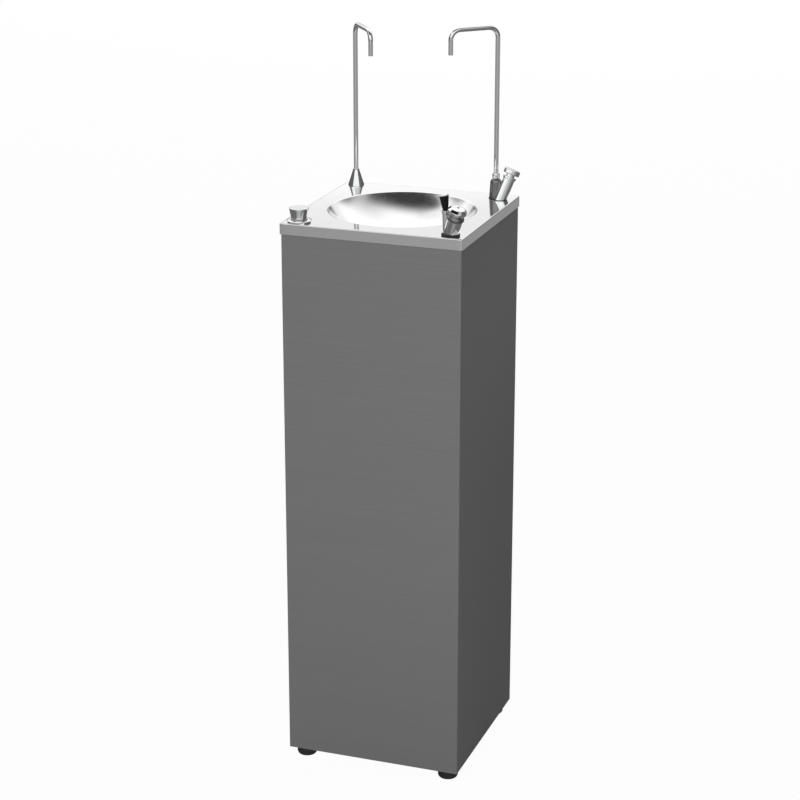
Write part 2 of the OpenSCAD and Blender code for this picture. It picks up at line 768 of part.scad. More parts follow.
// axis of the spout in its own plane: up, over towards +X, and down to the mouth
module spout_solid(r, over) {
  b = spout_bend;
  translate([0, 0, -over]) cylinder(r = r, h = spout_h - b + over);
  translate([b, 0, spout_h - b]) rotate([90, 0, 180])
    rotate_extrude(angle = 90) translate([b, 0]) circle(r);
  translate([b, 0, spout_h]) rotate([0, 90, 0]) cylinder(r = r, h = spout_reach - 2 * b);
  translate([spout_reach - b, 0, spout_h - b]) rotate([90, 0, 0])
    rotate_extrude(angle = 90) translate([b, 0]) circle(r);
  translate([spout_reach, 0, spout_h - spout_drop - over]) cylinder(r = r, h = spout_drop - b + over);
}

module spout(x, y, z, turn) {
  color(chrome_tone) translate([x, y, z]) rotate(turn) difference() {
    spout_solid(spout_r, 0);
    spout_solid(spout_r - spout_wall, cut);
  }
}

module filler_spout() spout(filler_x, filler_y, filler_socket_z, filler_turn);
module tap_spout() spout(tap_x, tap_y, tap_socket_z, tap_turn);

module valve_body() {
  color(brass_tone) difference() {
    union() {
      shank(knob_x, knob_y, z_lid + web_t);
      translate([knob_x, knob_y, valve_foot_z]) cylinder(r = valve_r, h = valve_l);
      translate([knob_x, knob_y, valve_foot_z - nipple_l]) cylinder(r = nipple_r, h = nipple_l + 0.5);
      rearwards(knob_x, knob_y, valve_port_z) cylinder(r = nipple_r, h = valve_r + nipple_l);
    }
    translate([knob_x, knob_y, valve_port_z - 3]) cylinder(r = stem_r + run, h = z_lid - valve_port_z + 9);
    translate([knob_x, knob_y, valve_foot_z - nipple_l - cut])
      cylinder(r = 1.6, h = valve_port_z - valve_foot_z + nipple_l);
    rearwards(knob_x, knob_y, valve_port_z) cylinder(r = 1.6, h = valve_r + nipple_l + cut);
  }
}

module valve_rose() {
  color(chrome_tone) translate([knob_x, knob_y, z_lid]) rotate_extrude() polygon([
    [shank_r + 0.1, 0], [rose_r, 0], [rose_r, 1], [rose_r - 0.8, 2.2], [rose_r - 3.6, rose_h],
    [knob_foot_r + 0.3, rose_h], [knob_foot_r + 0.3, web_t], [shank_r + 0.1, web_t]]);
}

module push_knob() {
  waist_z = 6;
  brim_z = knob_h - 3;
  color(chrome_tone) translate([knob_x, knob_y, knob_foot_z]) {
    rotate_extrude() polygon([[knob_cup_r, 0], [knob_foot_r - 0.4, 0], [knob_foot_r, 0.8],
      [knob_foot_r, 1.8], [waist_r, waist_z], [waist_r + 0.6, waist_z + 3], [knob_r, brim_z],
      [knob_r, knob_h - 0.8], [knob_r - 0.8, knob_h], [0, knob_h], [0, knob_cup_h],
      [knob_cup_r, knob_cup_h]]);
    translate([0, 0, valve_port_z + 6 - knob_foot_z])
      cylinder(r = stem_r, h = knob_foot_z - valve_port_z - 6 + knob_cup_h + 0.5);
  }
}

module push_knob_spring() {
  color(zinc_tone) translate([knob_x, knob_y, 0])
    helix_spring(5.6, 0.7, z_lid + web_t + 0.1, knob_foot_z + knob_cup_h - 0.1, 5);
}

module tap_axis() {
  leaning(tap_x + barrel_offset * cos(barrel_place), tap_y + barrel_offset * sin(barrel_place), z_lid,
    barrel_turn, barrel_lean) children();
}

// the barrel is turned on its axis, so that its surface seam is buried in the riser
module tap_body() {
  big = 80;
  color(chrome_tone) difference() {
    union() {
      difference() {
        union() {
          translate([tap_x, tap_y, z_lid]) rotate_extrude() polygon([[0, 0], [tap_r, 0],
            [tap_r - 0.3, 3], [tap_neck_r, tap_neck_h - 3], [tap_neck_r - 2, tap_neck_h], [0, tap_neck_h]]);
          tap_axis() {
            translate([0, 0, -8]) rotate(barrel_place + 180 - barrel_turn) cylinder(r = barrel_r, h = barrel_l + 8);
            translate([0, 0, barrel_l - tap_ring_h]) cylinder(r = tap_ring_r, h = tap_ring_h);
          }
        }
        translate([tap_x - big / 2, tap_y - big / 2, z_lid - big]) cube(big);
      }
      shank(tap_x, tap_y, z_lid + 0.5);
    }
    translate([tap_x, tap_y, tap_socket_z - fit]) cylinder(r = socket_r, h = tap_neck_h + cut);
    water_way(tap_x, tap_y, tap_socket_z);
    tap_axis() {
      translate([0, 0, tap_chamber_s]) cylinder(r = tap_chamber_r, h = barrel_l);
      translate([0, 0, 7]) cylinder(r = stem_r + run, h = barrel_l);
    }
  }
}

module tap_collar() {
  bead = 1.6;
  color(chrome_tone) translate([tap_x, tap_y, z_lid + tap_neck_h]) rotate_extrude() polygon([
    [spout_r + 0.12, 0], [tap_collar_r - bead, 0], [tap_collar_r, bead * 1.6],
    [tap_collar_r, tap_collar_h - bead * 1.6], [tap_collar_r - bead, tap_collar_h],
    [spout_r + 0.12, tap_collar_h]]);
}

module tap_button() {
  color(chrome_tone) tap_axis() {
    translate([0, 0, tap_cap_s]) rotate_extrude() polygon([[0, 0], [tap_cap_r - 0.8, 0],
      [tap_cap_r, 0.8], [tap_cap_r, tap_cap_h - 1.6], [tap_cap_r - 1, tap_cap_h - 0.5],
      [tap_cap_r - 3, tap_cap_h], [0, tap_cap_h]]);
    translate([0, 0, tap_boss_s]) cylinder(r = tap_chamber_r - run, h = tap_cap_s - tap_boss_s + 0.5);
    translate([0, 0, 12]) cylinder(r = stem_r, h = tap_boss_s - 11.5);
  }
}

module tap_spring() {
  color(zinc_tone) tap_axis() helix_spring(5, 0.7, tap_chamber_s + 0.1, tap_boss_s - 0.1, 6);
}

module pillar_axis() {
  leaning(bubbler_x, bubbler_y, z_lid, pillar_turn, pillar_lean) children();
}

module riser_axis() {
  leaning(bubbler_x - riser_offset * cos(pillar_turn), bubbler_y - riser_offset * sin(pillar_turn), z_lid,
    pillar_turn + 180, riser_lean) children();
}

module bubbler_ring() {
  color(chrome_tone) translate([bubbler_x, bubbler_y, z_lid]) rotate_extrude() polygon([[shank_r + 0.1, 0],
    [ring_r, 0], [ring_r, ring_h - 0.6], [ring_r - 0.6, ring_h], [shank_r + 0.1, ring_h]]);
}

// pillar and riser are turned half round, so that their surface seams are buried in each other
module bubbler_body() {
  big = 80;
  color(chrome_tone) difference() {
    union() {
      difference() {
        union() {
          pillar_axis() rotate(180) {
            translate([0, 0, -6]) cylinder(r = pillar_r, h = 6.5);
            cylinder(r1 = pillar_r, r2 = pillar_top_r, h = pillar_l);
          }
          riser_axis() rotate(180) translate([0, 0, -6]) cylinder(r = riser_r, h = riser_l + 6);
        }
        translate([bubbler_x - big / 2, bubbler_y - big / 2, z_lid + ring_h - big]) cube(big);
      }
      shank(bubbler_x, bubbler_y, z_lid + ring_h + 0.5);
    }
    water_way(bubbler_x, bubbler_y, z_lid + 8);
    pillar_axis() {
      translate([0, 0, button_floor_s]) cylinder(r = button_bore_r, h = pillar_l);
      translate([0, 0, 9]) cylinder(r = stem_r + run, h = pillar_l);
    }
    riser_axis() translate([0, 0, riser_l - 8]) cylinder(r = 2.6, h = 8 + cut);
  }
}

module bubbler_collar() {
  color(chrome_tone) pillar_axis() translate([0, 0, pillar_l]) rotate_extrude() polygon([[button_bore_r, 0],
    [pillar_top_r, 0], [collar_r, 1.4], [collar_r, collar_h - 3], [collar_r - 1.6, collar_h - 1.4],
    [collar_r - 2.2, collar_h], [button_bore_r, collar_h]]);
}

module bubbler_button() {
  dimple_r = 1.6;
  color(chrome_tone) pillar_axis() {
    translate([0, 0, button_s]) rotate_extrude() polygon([[0, 0], [button_r - 0.8, 0], [button_r, 0.8],
      [button_r, button_h - 4.5], [button_r - 0.8, button_h - 3.2], [button_r - 4, button_h - 1.4],
      [button_r - 9, button_h - 0.2], [dimple_r, button_h], [dimple_r, button_h - 0.8],
      [0, button_h - 0.8]]);
    translate([0, 0, button_boss_s]) cylinder(r = button_bore_r - run, h = button_s - button_boss_s + 0.5);
    translate([0, 0, 14]) cylinder(r = stem_r, h = button_boss_s - 13.5);
  }
}

module bubbler_spring() {
  color(zinc_tone) pillar_axis() helix_spring(6.4, 0.8, button_floor_s + 0.1, button_boss_s - 0.1, 4);
}

module bubbler_nozzle() {
  color(chrome_tone) riser_axis() translate([0, 0, riser_l - 7]) tube(2.5, 1.2, 15);
}

// half of a cone that opens upwards, with its back towards the button
module bubbler_hood() {
  start_r = 3.4;
  color(chrome_tone) riser_axis() translate([0, 0, riser_l]) {
    tube(riser_r + 0.6, 2.6, hood_ring_h);
    translate([0, 0, hood_ring_h - 0.8]) rotate([0, hood_lean - riser_lean, 0]) rotate([0, 0, 90])
      rotate_extrude(angle = 180) polygon([[start_r, 0], [start_r + hood_t, 0],
        [hood_r, hood_l], [hood_r - hood_t, hood_l]]);
  }
}

module deck_gaskets() {
  color(black_tone) for (p = deck_places)
    translate([p.x, p.y, z_under - 1.5]) tube(shank_r + 4.5, shank_r + 0.1, 1.5);
}

module deck_nuts() {
  color(zinc_tone) for (p = deck_places)
    translate([p.x, p.y, z_under - 8]) hex_nut(shank_r + 5.6, shank_r + 0.1, 6.5);
}

// places children at the four mounting holes of the compressor
module comp_mounts() {
  for (x = [-1, 1], y = [-1, 1])
    translate([comp_x + x * comp_span_x / 2, comp_y + y * comp_span_y / 2, foot_h + tray_t]) children();
}

module compressor() {
  dome = 28;
  color(black_tone) {
    difference() {
      translate([comp_x - comp_span_x / 2 - 14, comp_y - comp_span_y / 2 - 14, plate_z])
        cube([comp_span_x + 28, comp_span_y + 28, plate_t]);
      comp_mounts() cylinder(r = 7.3, h = 20);
    }
    translate([comp_x, comp_y, comp_z - 0.5]) rotate_extrude() polygon([[0, 0], [comp_r * 0.62, 0],
      [comp_r * 0.86, dome * 0.3], [comp_r * 0.96, dome * 0.65], [comp_r, dome],
      [comp_r, seam_h - seam_t / 2],
      [comp_r + 2.5, seam_h - seam_t / 2], [comp_r + 2.5, seam_h + seam_t / 2],
      [comp_r, seam_h + seam_t / 2], [comp_r, comp_h - dome],
      [comp_r * 0.96, comp_h - dome * 0.65], [comp_r * 0.86, comp_h - dome * 0.3],
      [comp_r * 0.62, comp_h - 2],
      [comp_r * 0.3, comp_h], [0, comp_h]]);
    for (p = [suction_stub, discharge_stub])
      translate(p) rotate([0, 90, 0]) cylinder(r = line_r, h = comp_x - stub_x);
  }
}

module compressor_grommets() {
  color(black_tone) comp_mounts() rotate_extrude() polygon([[4.3, 0], [12, 0], [12, 8], [7, 8.1],
    [7, 8.5 + plate_t], [10.5, 8.5 + plate_t], [10.5, grommet_h], [4.3, grommet_h]]);
}

module compressor_bolts() {
  color(zinc_tone) comp_mounts() {
    translate([0, 0, -tray_t - 6]) cylinder(r = 3.9, h = grommet_h + tray_t + 6);
    translate([0, 0, grommet_h]) cylinder(r = 9, h = 1.6);
    translate([0, 0, grommet_h + 1.6]) cylinder(r = 7.4, h = 5.3, $fn = 6);
    translate([0, 0, -tray_t - 5.5]) hex_nut(7.4, 3.8, 5.5);
  }
}

module relay_cover() {
  depth = 34;
  color(black_tone) difference() {
    translate([comp_x + comp_r * 0.7, comp_y - 24, comp_z + seam_h - seam_t - relay_h])
      cube([comp_r * 0.3 + depth, 48, relay_h]);
    translate([comp_x, comp_y, comp_z - cut]) cylinder(r = comp_r + fit, h = comp_h);
  }
}

module fin_plan(y0) {
  difference() {
    translate([y0, fin_z]) square([fin_y1 - y0, fin_h]);
    for (i = [0 : pass_count - 1]) translate([pass_y, pass_z(i)]) circle(line_r + 0.05);
  }
}

// fins stand across X; the two thicker end plates reach the fan shroud
module condenser_fins() {
  plate = 1.5;
  color(zinc_tone) {
    for (i = [1 : fin_count - 2]) translate([-fin_span / 2 + i * fin_pitch - fin_t / 2, 0, 0])
      rotate([90, 0, 90]) linear_extrude(fin_t) fin_plan(fin_y0);
    for (x = [-fin_span / 2 - plate / 2, fin_span / 2 - plate / 2]) translate([x, 0, 0])
      rotate([90, 0, 90]) linear_extrude(plate) fin_plan(shroud_y + shroud_t);
  }
}

// passes run along X and are joined by return bends, first at the right end of the lowest pair
module serpentine(r, over) {
  b = pass_pitch / 2;
  for (i = [0 : pass_count - 1]) {
    tail = (i == 0 || i == pass_count - 1) ? 10 + over : 0;
    translate([-pass_end - tail, pass_y, pass_z(i)]) rotate([0, 90, 0])
      cylinder(r = r, h = 2 * pass_end + tail);
  }
  for (i = [0 : pass_count - 2]) {
    right = i % 2 == 0;
    translate([right ? pass_end : -pass_end, pass_y, pass_z(i) + b]) rotate([90, 0, 0])
      rotate(right ? -90 : 90) rotate_extrude(angle = 180) translate([b, 0]) circle(r);
  }
}

module condenser_tube() {
  color(copper_tone) difference() {
    serpentine(line_r, 0);
    serpentine(line_r - 0.8, cut);
  }
}

module fan_shroud() {
  w = fin_span + 14;
  z0 = foot_h + tray_t;
  z1 = fin_z + fin_h + 4;
  spoke_w = 9;
  color(black_tone) {
    difference() {
      translate([-w / 2, shroud_y, z0]) cube([w, shroud_t, z1 - z0]);
      rearwards(0, shroud_y - cut, fan_z) cylinder(r = fan_r + 4, h = shroud_t + 2 * cut);
    }
    translate([-w / 2, shroud_y + 0.5, fin_z - 2.2]) cube([w, fin_y1 - shroud_y, 2]);
    rearwards(0, spider_y, fan_z) {
      tube(fan_r + 6, fan_r + 4, collar_l + 0.5);
      tube(motor_r + 4, motor_r + 0.2, 5);
      for (a = [0, 120, 240]) rotate(a + 90) translate([motor_r + 2, -spoke_w / 2, 0])
        cube([fan_r - motor_r + 3, spoke_w, 4]);
    }
  }
}

module fan_motor() {
  color(zinc_tone) rearwards(0, spider_y + 5 - motor_l, fan_z) difference() {
    union() {
      cylinder(r = motor_r, h = motor_l);
      translate([0, 0, -4]) cylinder(r = motor_r * 0.45, h = 5);
    }
    translate([0, 0, 6]) cylinder(r = stem_r + run, h = motor_l);
  }
}

module fan_blade() {
  blades = 5;
  blade_t = 1.6;
  blade_w = 30;
  pitch = 24;
  hub_y = spider_y + 6.5;
  color(black_tone) rearwards(0, hub_y, fan_z) {
    cylinder(r = fan_hub_r, h = fan_hub_l);
    translate([0, 0, -26]) cylinder(r = stem_r, h = 26.5);
    for (i = [0 : blades - 1]) rotate(i * 360 / blades) translate([fan_hub_r - 3, 0, fan_hub_l / 2])
      rotate([pitch, 0, 0]) translate([0, -blade_w / 2, -blade_t / 2])
        cube([fan_r - fan_hub_r + 1, blade_w, blade_t]);
  }
}

// the drier stands upright; its lower neck bends over to the outlet of the condenser
module filter_drier() {
  neck = 10;
  inlet_x0 = -pass_end - 10.2;
  b = line_bend;
  color(copper_tone) {
    translate([drier_x, pass_y, drier_z0]) rotate_extrude() polygon([[0, 0], [line_r, 0], [10, neck],
      [10, drier_l - neck], [2.5, drier_l], [0, drier_l]]);
    translate([drier_x, pass_y, pass_z(0) + b]) cylinder(r = line_r, h = drier_z0 - pass_z(0) - b + 0.5);
    translate([drier_x + b, pass_y, pass_z(0) + b]) rotate([90, 0, 0]) rotate(180)
      rotate_extrude(angle = 90) translate([b, 0]) circle(line_r);
    translate([drier_x + b, pass_y, pass_z(0)]) rotate([0, 90, 0])
      cylinder(r = line_r, h = inlet_x0 - drier_x - b);
  }
}

module capillary() {
  route = [[drier_x, pass_y, drier_z0 + drier_l + 0.1], [drier_x, pass_y, pass_z(4) + 30],
    [-line_x, 0, pass_z(4) + 60], [-line_x, 0, coil_z0], [-lead_x - 0.7, 0, coil_z0]];
  color(copper_tone) rod(rounded(route, line_bend, 4), 1.5, 6);
}

module discharge_line() {
  x = -pass_end - 22;
  route = [discharge_stub - [0.1, 0, 0], [x, discharge_stub.y, discharge_stub.z],
    [x, pass_y - 50, pass_z(5) - 40], [x, pass_y, pass_z(5)], [-pass_end - 10.2, pass_y, pass_z(5)]];
  color(copper_tone) hose(rounded(route, line_bend, 5), line_r, line_r - 0.8, 8);
}

module suction_line() {
  route = [[-lead_x - 0.7, 0, coil_z1], [-line_x, 0, coil_z1], [-line_x, suction_y, coil_z1 - 80],
    [-line_x, suction_y, suction_stub.z + 50], [-line_x, suction_stub.y, suction_stub.z],
    suction_stub - [0.1, 0, 0]];
  color(copper_tone) hose(rounded(route, line_bend, 5), line_r, line_r - 0.8, 8);
}

// the coil comes in from the left, winds round the tank and goes out to the left again
function coil_lead(t, z) =
  let (a = 180 + lead_turn * t * t, r = coil_r + (lead_x - coil_r) * pow(1 - t, 2))
  [r * cos(a), r * sin(a), z];

module evaporator_coil() {
  lead = 8;
  sweep = 360 * coil_turns - 2 * lead_turn;
  count = floor(coil_steps * sweep / 360);
  winding = [for (i = [0 : count]) let (a = 180 + lead_turn + sweep * i / count)
    [coil_r * cos(a), coil_r * sin(a), coil_z0 + (coil_z1 - coil_z0) * i / count]];
  lead_in = [for (i = [0 : lead - 1]) coil_lead(i / lead, coil_z0)];
  lead_out = [for (i = [lead - 1 : -1 : 0]) let (p = coil_lead(i / lead, coil_z1)) [p.x, -p.y, p.z]];
  color(copper_tone) rod(concat(lead_in, winding, lead_out), line_r, 6);
}

module tank_section(r, dome, h) {
  polygon([[0, 0], [r * 0.5, dome * 0.12], [r * 0.8, dome * 0.42], [r * 0.95, dome * 0.74], [r, dome],
    [r, dome + h], [r * 0.95, h + dome * 1.26], [r * 0.8, h + dome * 1.58], [r * 0.5, h + dome * 1.88],
    [0, h + dome * 2]]);
}

module water_tank() {
  wall = 1;
  color(chrome_tone) difference() {
    union() {
      translate([0, 0, tank_z0]) rotate_extrude() tank_section(tank_r, tank_dome, tank_h);
      for (x = [-tank_stub_x, tank_stub_x]) translate([x, 0, tank_z1 - tank_dome])
        cylinder(r = tank_stub_r, h = tank_stub_z - nipple_l - tank_z1 + tank_dome);
      for (x = [-tank_stub_x, tank_stub_x]) translate([x, 0, tank_z1 - tank_dome])
        cylinder(r = nipple_r, h = tank_stub_z - tank_z1 + tank_dome);
    }
    translate([0, 0, tank_z0 + wall]) rotate_extrude() tank_section(tank_r - wall, tank_dome - wall, tank_h);
    for (x = [-tank_stub_x, tank_stub_x]) translate([x, 0, tank_z1 - 40]) cylinder(r = 1.6, h = 120);
  }
}

// one half of the insulation: the front half lies towards -Y
module foam_half_block(front) {
  y0 = front ? -foam_half_y : 0.05;
  window_h = 14;
  window_w = 86;
  difference() {
    translate([-foam_half_x, y0, foam_z0]) cube([2 * foam_half_x, foam_half_y - 0.05, foam_z1 - foam_z0]);
    translate([0, 0, tank_z0 - fit]) cylinder(r = cavity_r, h = tank_z1 - tank_z0 + 1);
    for (x = [-tank_stub_x, tank_stub_x]) translate([x, 0, tank_z1 - 2])
      cylinder(r = tank_stub_r + fit, h = foam_z1 - tank_z1 + 4);
    for (z = [coil_z0, coil_z1]) translate([-foam_half_x - cut, -window_w / 2, z - window_h / 2])
      cube([foam_half_x - tank_r, window_w, window_h]);
  }
}

module insulation_front() color(foam_tone) foam_half_block(true);
module insulation_rear() color(foam_tone) foam_half_block(false);

module thermostat() {
  color(zinc_tone) difference() {
    union() {
      translate([stat_x - 18, inner_y - 32, stat_z - 22]) cube([36, 28, 44]);
      rearwards(stat_x, inner_y - 5, stat_z) cylinder(r = 9, h = 5);
    }
    rearwards(stat_x, inner_y - 18, stat_z) cylinder(r = stem_r + run, h = 30);
  }
}

module thermostat_knob() {
  h = 11;
  color(black_tone) rearwards(stat_x, panel_y + 0.4, stat_z) {
    difference() {
      rotate_extrude() polygon([[0, 0], [stat_knob_r, 0], [stat_knob_r, 3], [stat_knob_r - 2, 4],
        [stat_knob_r - 2.6, h - 0.8], [stat_knob_r - 3.4, h], [0, h]]);
      translate([-0.8, -stat_knob_r, h - 0.8]) cube([1.6, stat_knob_r - 2, 2]);
    }
    translate([0, 0, -sheet_t - 15]) cylinder(r = stem_r, h = sheet_t + 15.5);
  }
}

module water_inlet() {
  color(brass_tone) rearwards(inlet_x, panel_y, service_z) difference() {
    union() {
      cylinder(r = inlet_r + 4.5, h = 4, $fn = 6);
      cylinder(r = inlet_r, h = half_d - panel_y - 4);
      translate([0, 0, -sheet_t - 10]) cylinder(r = inlet_r, h = sheet_t + 10.5);
      translate([0, 0, -sheet_t - 6]) cylinder(r = inlet_r + 4.5, h = 6, $fn = 6);
      translate([0, 0, -sheet_t - 10 - nipple_l]) cylinder(r = nipple_r, h = nipple_l + 0.5);
    }
    translate([0, 0, 2]) cylinder(r = inlet_r - 3, h = 40);
    translate([0, 0, -40]) cylinder(r = 1.6, h = 50);
  }
}

module water_manifold() {
  z0 = tank_stub_z - nipple_l + 0.2;
  color(tube_tone) difference() {
    union() {
      translate([manifold_x, 0, z0]) cylinder(r = manifold_r, h = manifold_z + 12 - z0);
      for (a = outlet_turns) translate([manifold_x, 0, manifold_z]) rotate([0, 90, a])
        cylinder(r = nipple_r, h = manifold_r + nipple_l);
    }
    translate([manifold_x, 0, z0 - cut]) cylinder(r = nipple_r + 0.15, h = nipple_l + 2);
    translate([manifold_x, 0, z0 + 4]) cylinder(r = 2.2, h = manifold_z + 4 - z0);
    for (a = outlet_turns) translate([manifold_x, 0, manifold_z]) rotate([0, 90, a])
      cylinder(r = 1.6, h = manifold_r + nipple_l + cut);
  }
}

// a route that leaves the manifold straight, then rises under its fitting
function outlet_route(i, x, y, z_end) = let (a = outlet_turns[i], z = manifold_z,
  out = manifold_r + 0.2, far = manifold_r + 46)
  [[manifold_x + out * cos(a), out * sin(a), z], [manifold_x + far * cos(a), far * sin(a), z],
   [x, y, z + 50], [x, y, z_end]];

module water_tube(route) {
  hose(rounded(route, tube_bend, 4), tube_r, tube_r - tube_wall, 8);
}

module water_tubes() {
  stub_top = tank_stub_z + 20;
  inlet_end = inner_y - 10.3;
  color(tube_tone) {
    water_tube(outlet_route(0, tap_x, tap_y, tail_z - 0.2));
    water_tube(outlet_route(1, bubbler_x, bubbler_y, tail_z - 0.2));
    water_tube(outlet_route(2, knob_x, knob_y, valve_foot_z - 0.2));
    water_tube([[knob_x, knob_y + valve_r + 0.2, valve_port_z],
      [knob_x, knob_y + valve_r + 40, valve_port_z],
      [filler_x, filler_y, valve_port_z - 18], [filler_x, filler_y, tail_z - 0.2]]);
    water_tube([[inlet_x, inlet_end, service_z], [inlet_x, inlet_run_y, service_z],
      [-run_x, inlet_run_y, service_z + 26], [-run_x, inlet_run_y, stub_top], [-tank_stub_x, 0, stub_top],
      [-tank_stub_x, 0, tank_stub_z - nipple_l + 0.2]]);
  }
}

module power_inlet() {
  color(black_tone) translate([power_x, 0, service_z]) {
    difference() {
      union() {
        translate([-25, panel_y, -13]) cube([50, 3, 26]);
        translate([-13.8, inner_y - 26, -10.1]) cube([27.6, 28, 20.2]);
      }
      translate([-12, inner_y - 14, -8.2]) cube([24, 40, 16.4]);
      for (x = [-20, 20]) rearwards(x, panel_y - cut, 0) cylinder(r = 1.7, h = 6);
    }
    for (p = [[-7, -2], [7, -2], [0, 2]])
      translate([p.x - 1, inner_y - 15, p.y - 2]) cube([2, 11, 4]);
  }
}

base_tray();
cabinet_shell();
rear_panel();
rear_panel_screws();
worktop();
basin();
tank_shelf();
foot_front_left();
foot_front_right();
foot_rear_left();
foot_rear_right();
foot_nuts();
basin_strainer();
waste_body();
waste_nut();
drain_hose();
drain_outlet();
filler_base();
filler_spout();
valve_body();
valve_rose();
push_knob();
push_knob_spring();
tap_body();
tap_collar();
tap_spout();
tap_button();
tap_spring();
bubbler_ring();
bubbler_body();
bubbler_collar();
bubbler_button();
bubbler_spring();
bubbler_nozzle();
bubbler_hood();
deck_gaskets();
deck_nuts();
compressor();
compressor_grommets();
compressor_bolts();
relay_cover();
condenser_fins();
condenser_tube();
fan_shroud();
fan_motor();
fan_blade();
filter_drier();
capillary();
discharge_line();
suction_line();
evaporator_coil();
water_tank();
insulation_front();
insulation_rear();
thermostat();
thermostat_knob();
water_inlet();
water_manifold();
water_tubes();
power_inlet();
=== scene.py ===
# %% [markdown]
# # A plumbed water cooler with a polished bowl top
# The cooler is a square column of brushed sheet steel with a mirror-polished top. A round bowl is drawn
# into the top, and four chromed fittings stand on its corners: a glass filler, a push knob, a push tap
# and a drinking bubbler. The engineering model is loaded as a fixed frame, and this lesson dresses it:
# sheet metal with rounded folds, turned fittings with softened edges, and finishes made from nodes.

# %% Load the fixed frame
import json
import math

import bmesh
import bpy
from mathutils import Matrix, Vector


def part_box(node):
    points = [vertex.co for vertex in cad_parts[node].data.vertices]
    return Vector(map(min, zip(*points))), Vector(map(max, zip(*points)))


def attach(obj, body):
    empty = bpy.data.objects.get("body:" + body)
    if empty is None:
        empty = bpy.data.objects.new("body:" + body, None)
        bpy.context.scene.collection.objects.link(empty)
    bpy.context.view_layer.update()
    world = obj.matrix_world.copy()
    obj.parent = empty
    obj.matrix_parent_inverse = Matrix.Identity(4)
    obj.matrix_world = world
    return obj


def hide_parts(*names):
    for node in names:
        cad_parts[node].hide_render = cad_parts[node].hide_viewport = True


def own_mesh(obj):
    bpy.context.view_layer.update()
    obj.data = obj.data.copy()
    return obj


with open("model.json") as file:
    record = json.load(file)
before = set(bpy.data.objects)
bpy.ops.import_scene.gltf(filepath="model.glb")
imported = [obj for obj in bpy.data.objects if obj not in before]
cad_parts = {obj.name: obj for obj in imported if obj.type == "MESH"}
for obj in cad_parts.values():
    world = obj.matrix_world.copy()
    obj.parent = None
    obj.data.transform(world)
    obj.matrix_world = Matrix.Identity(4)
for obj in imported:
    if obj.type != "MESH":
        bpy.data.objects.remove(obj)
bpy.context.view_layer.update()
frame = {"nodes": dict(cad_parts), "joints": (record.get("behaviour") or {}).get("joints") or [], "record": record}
scene = bpy.context.scene
MM = 0.001
joints = {joint["name"]: joint for joint in frame["joints"]}

# %% [markdown]
# ## Camera
# The product picture was taken with a long lens from the right of the front and a little above the top.
# The place and lens below come from matching the edges of the cabinet, so the camera is made first and
# every later step can be compared with the picture.

# %% Camera
CAMERA_PLACE = Vector((1.24086, -3.48230, 1.88637))
CAMERA_TARGET = Vector((-0.00397, 0.0, 0.63006))
CAMERA_LENS = 102.46
CAMERA_SENSOR = 36.0

camera_data = bpy.data.cameras.new("product_camera")
camera_data.lens = CAMERA_LENS
camera_data.sensor_width = CAMERA_SENSOR
camera = bpy.data.objects.new("product_camera", camera_data)
camera.location = CAMERA_PLACE
camera.rotation_euler = (CAMERA_TARGET - CAMERA_PLACE).to_track_quat("-Z", "Y").to_euler()
scene.collection.objects.link(camera)
scene.camera = camera
scene.view_settings.view_transform = "Standard"
print("camera distance", round((CAMERA_TARGET - CAMERA_PLACE).length, 3), "m")

# %% [markdown]
# ## Finishes
# Each finish is a Principled shader with a procedural pattern in Object coordinates, so it stays on the
# surface from every side. One helper lays down the shared wiring: a stretched noise that varies the
# colour and the roughness a little and lifts a fine bump. What makes a finish brushed, cast, moulded or
# drawn is the stretch and strength of that noise.

# %% Finish helper
NOISE_DETAIL = 4.0
TINT_LOW = 0.3
TINT_HIGH = 0.7
BUMP_HEIGHT = 0.1 * MM


def grained(name, color, metallic, roughness, stretch, tint=0.06, spread=0.05, bump=0.0):
    """A finish with a stretched noise: tint varies its colour, spread its roughness, bump its height."""
    material = bpy.data.materials.new(name)
    material.use_nodes = True
    nodes = material.node_tree.nodes
    link = material.node_tree.links.new
    shader = nodes["Principled BSDF"]
    shader.inputs["Metallic"].default_value = metallic
    place = nodes.new("ShaderNodeTexCoord")
    mapping = nodes.new("ShaderNodeMapping")
    mapping.inputs["Scale"].default_value = stretch
    link(place.outputs["Object"], mapping.inputs["Vector"])
    noise = nodes.new("ShaderNodeTexNoise")
    noise.inputs["Scale"].default_value = 1.0
    noise.inputs["Detail"].default_value = NOISE_DETAIL
    link(mapping.outputs["Vector"], noise.inputs["Vector"])
    ramp = nodes.new("ShaderNodeValToRGB")
    ramp.color_ramp.elements[0].position = TINT_LOW
    ramp.color_ramp.elements[1].position = TINT_HIGH
    ramp.color_ramp.elements[0].color = [c * (1 - tint) for c in color] + [1]
    ramp.color_ramp.elements[1].color = [min(1, c * (1 + tint)) for c in color] + [1]
    link(noise.outputs["Fac"], ramp.inputs["Fac"])
    link(ramp.outputs["Color"], shader.inputs["Base Color"])
    rough = nodes.new("ShaderNodeMapRange")
    rough.inputs["To Min"].default_value = max(0.0, roughness - spread)
    rough.inputs["To Max"].default_value = roughness + spread
    link(noise.outputs["Fac"], rough.inputs["Value"])
    link(rough.outputs["Result"], shader.inputs["Roughness"])
    if bump:
        relief = nodes.new("ShaderNodeBump")
        relief.inputs["Strength"].default_value = bump
        relief.inputs["Distance"].default_value = BUMP_HEIGHT
        link(noise.outputs["Fac"], relief.inputs["Height"])
        link(relief.outputs["Normal"], shader.inputs["Normal"])
    return material


print("the grain is", BUMP_HEIGHT / MM, "mm high at full strength")

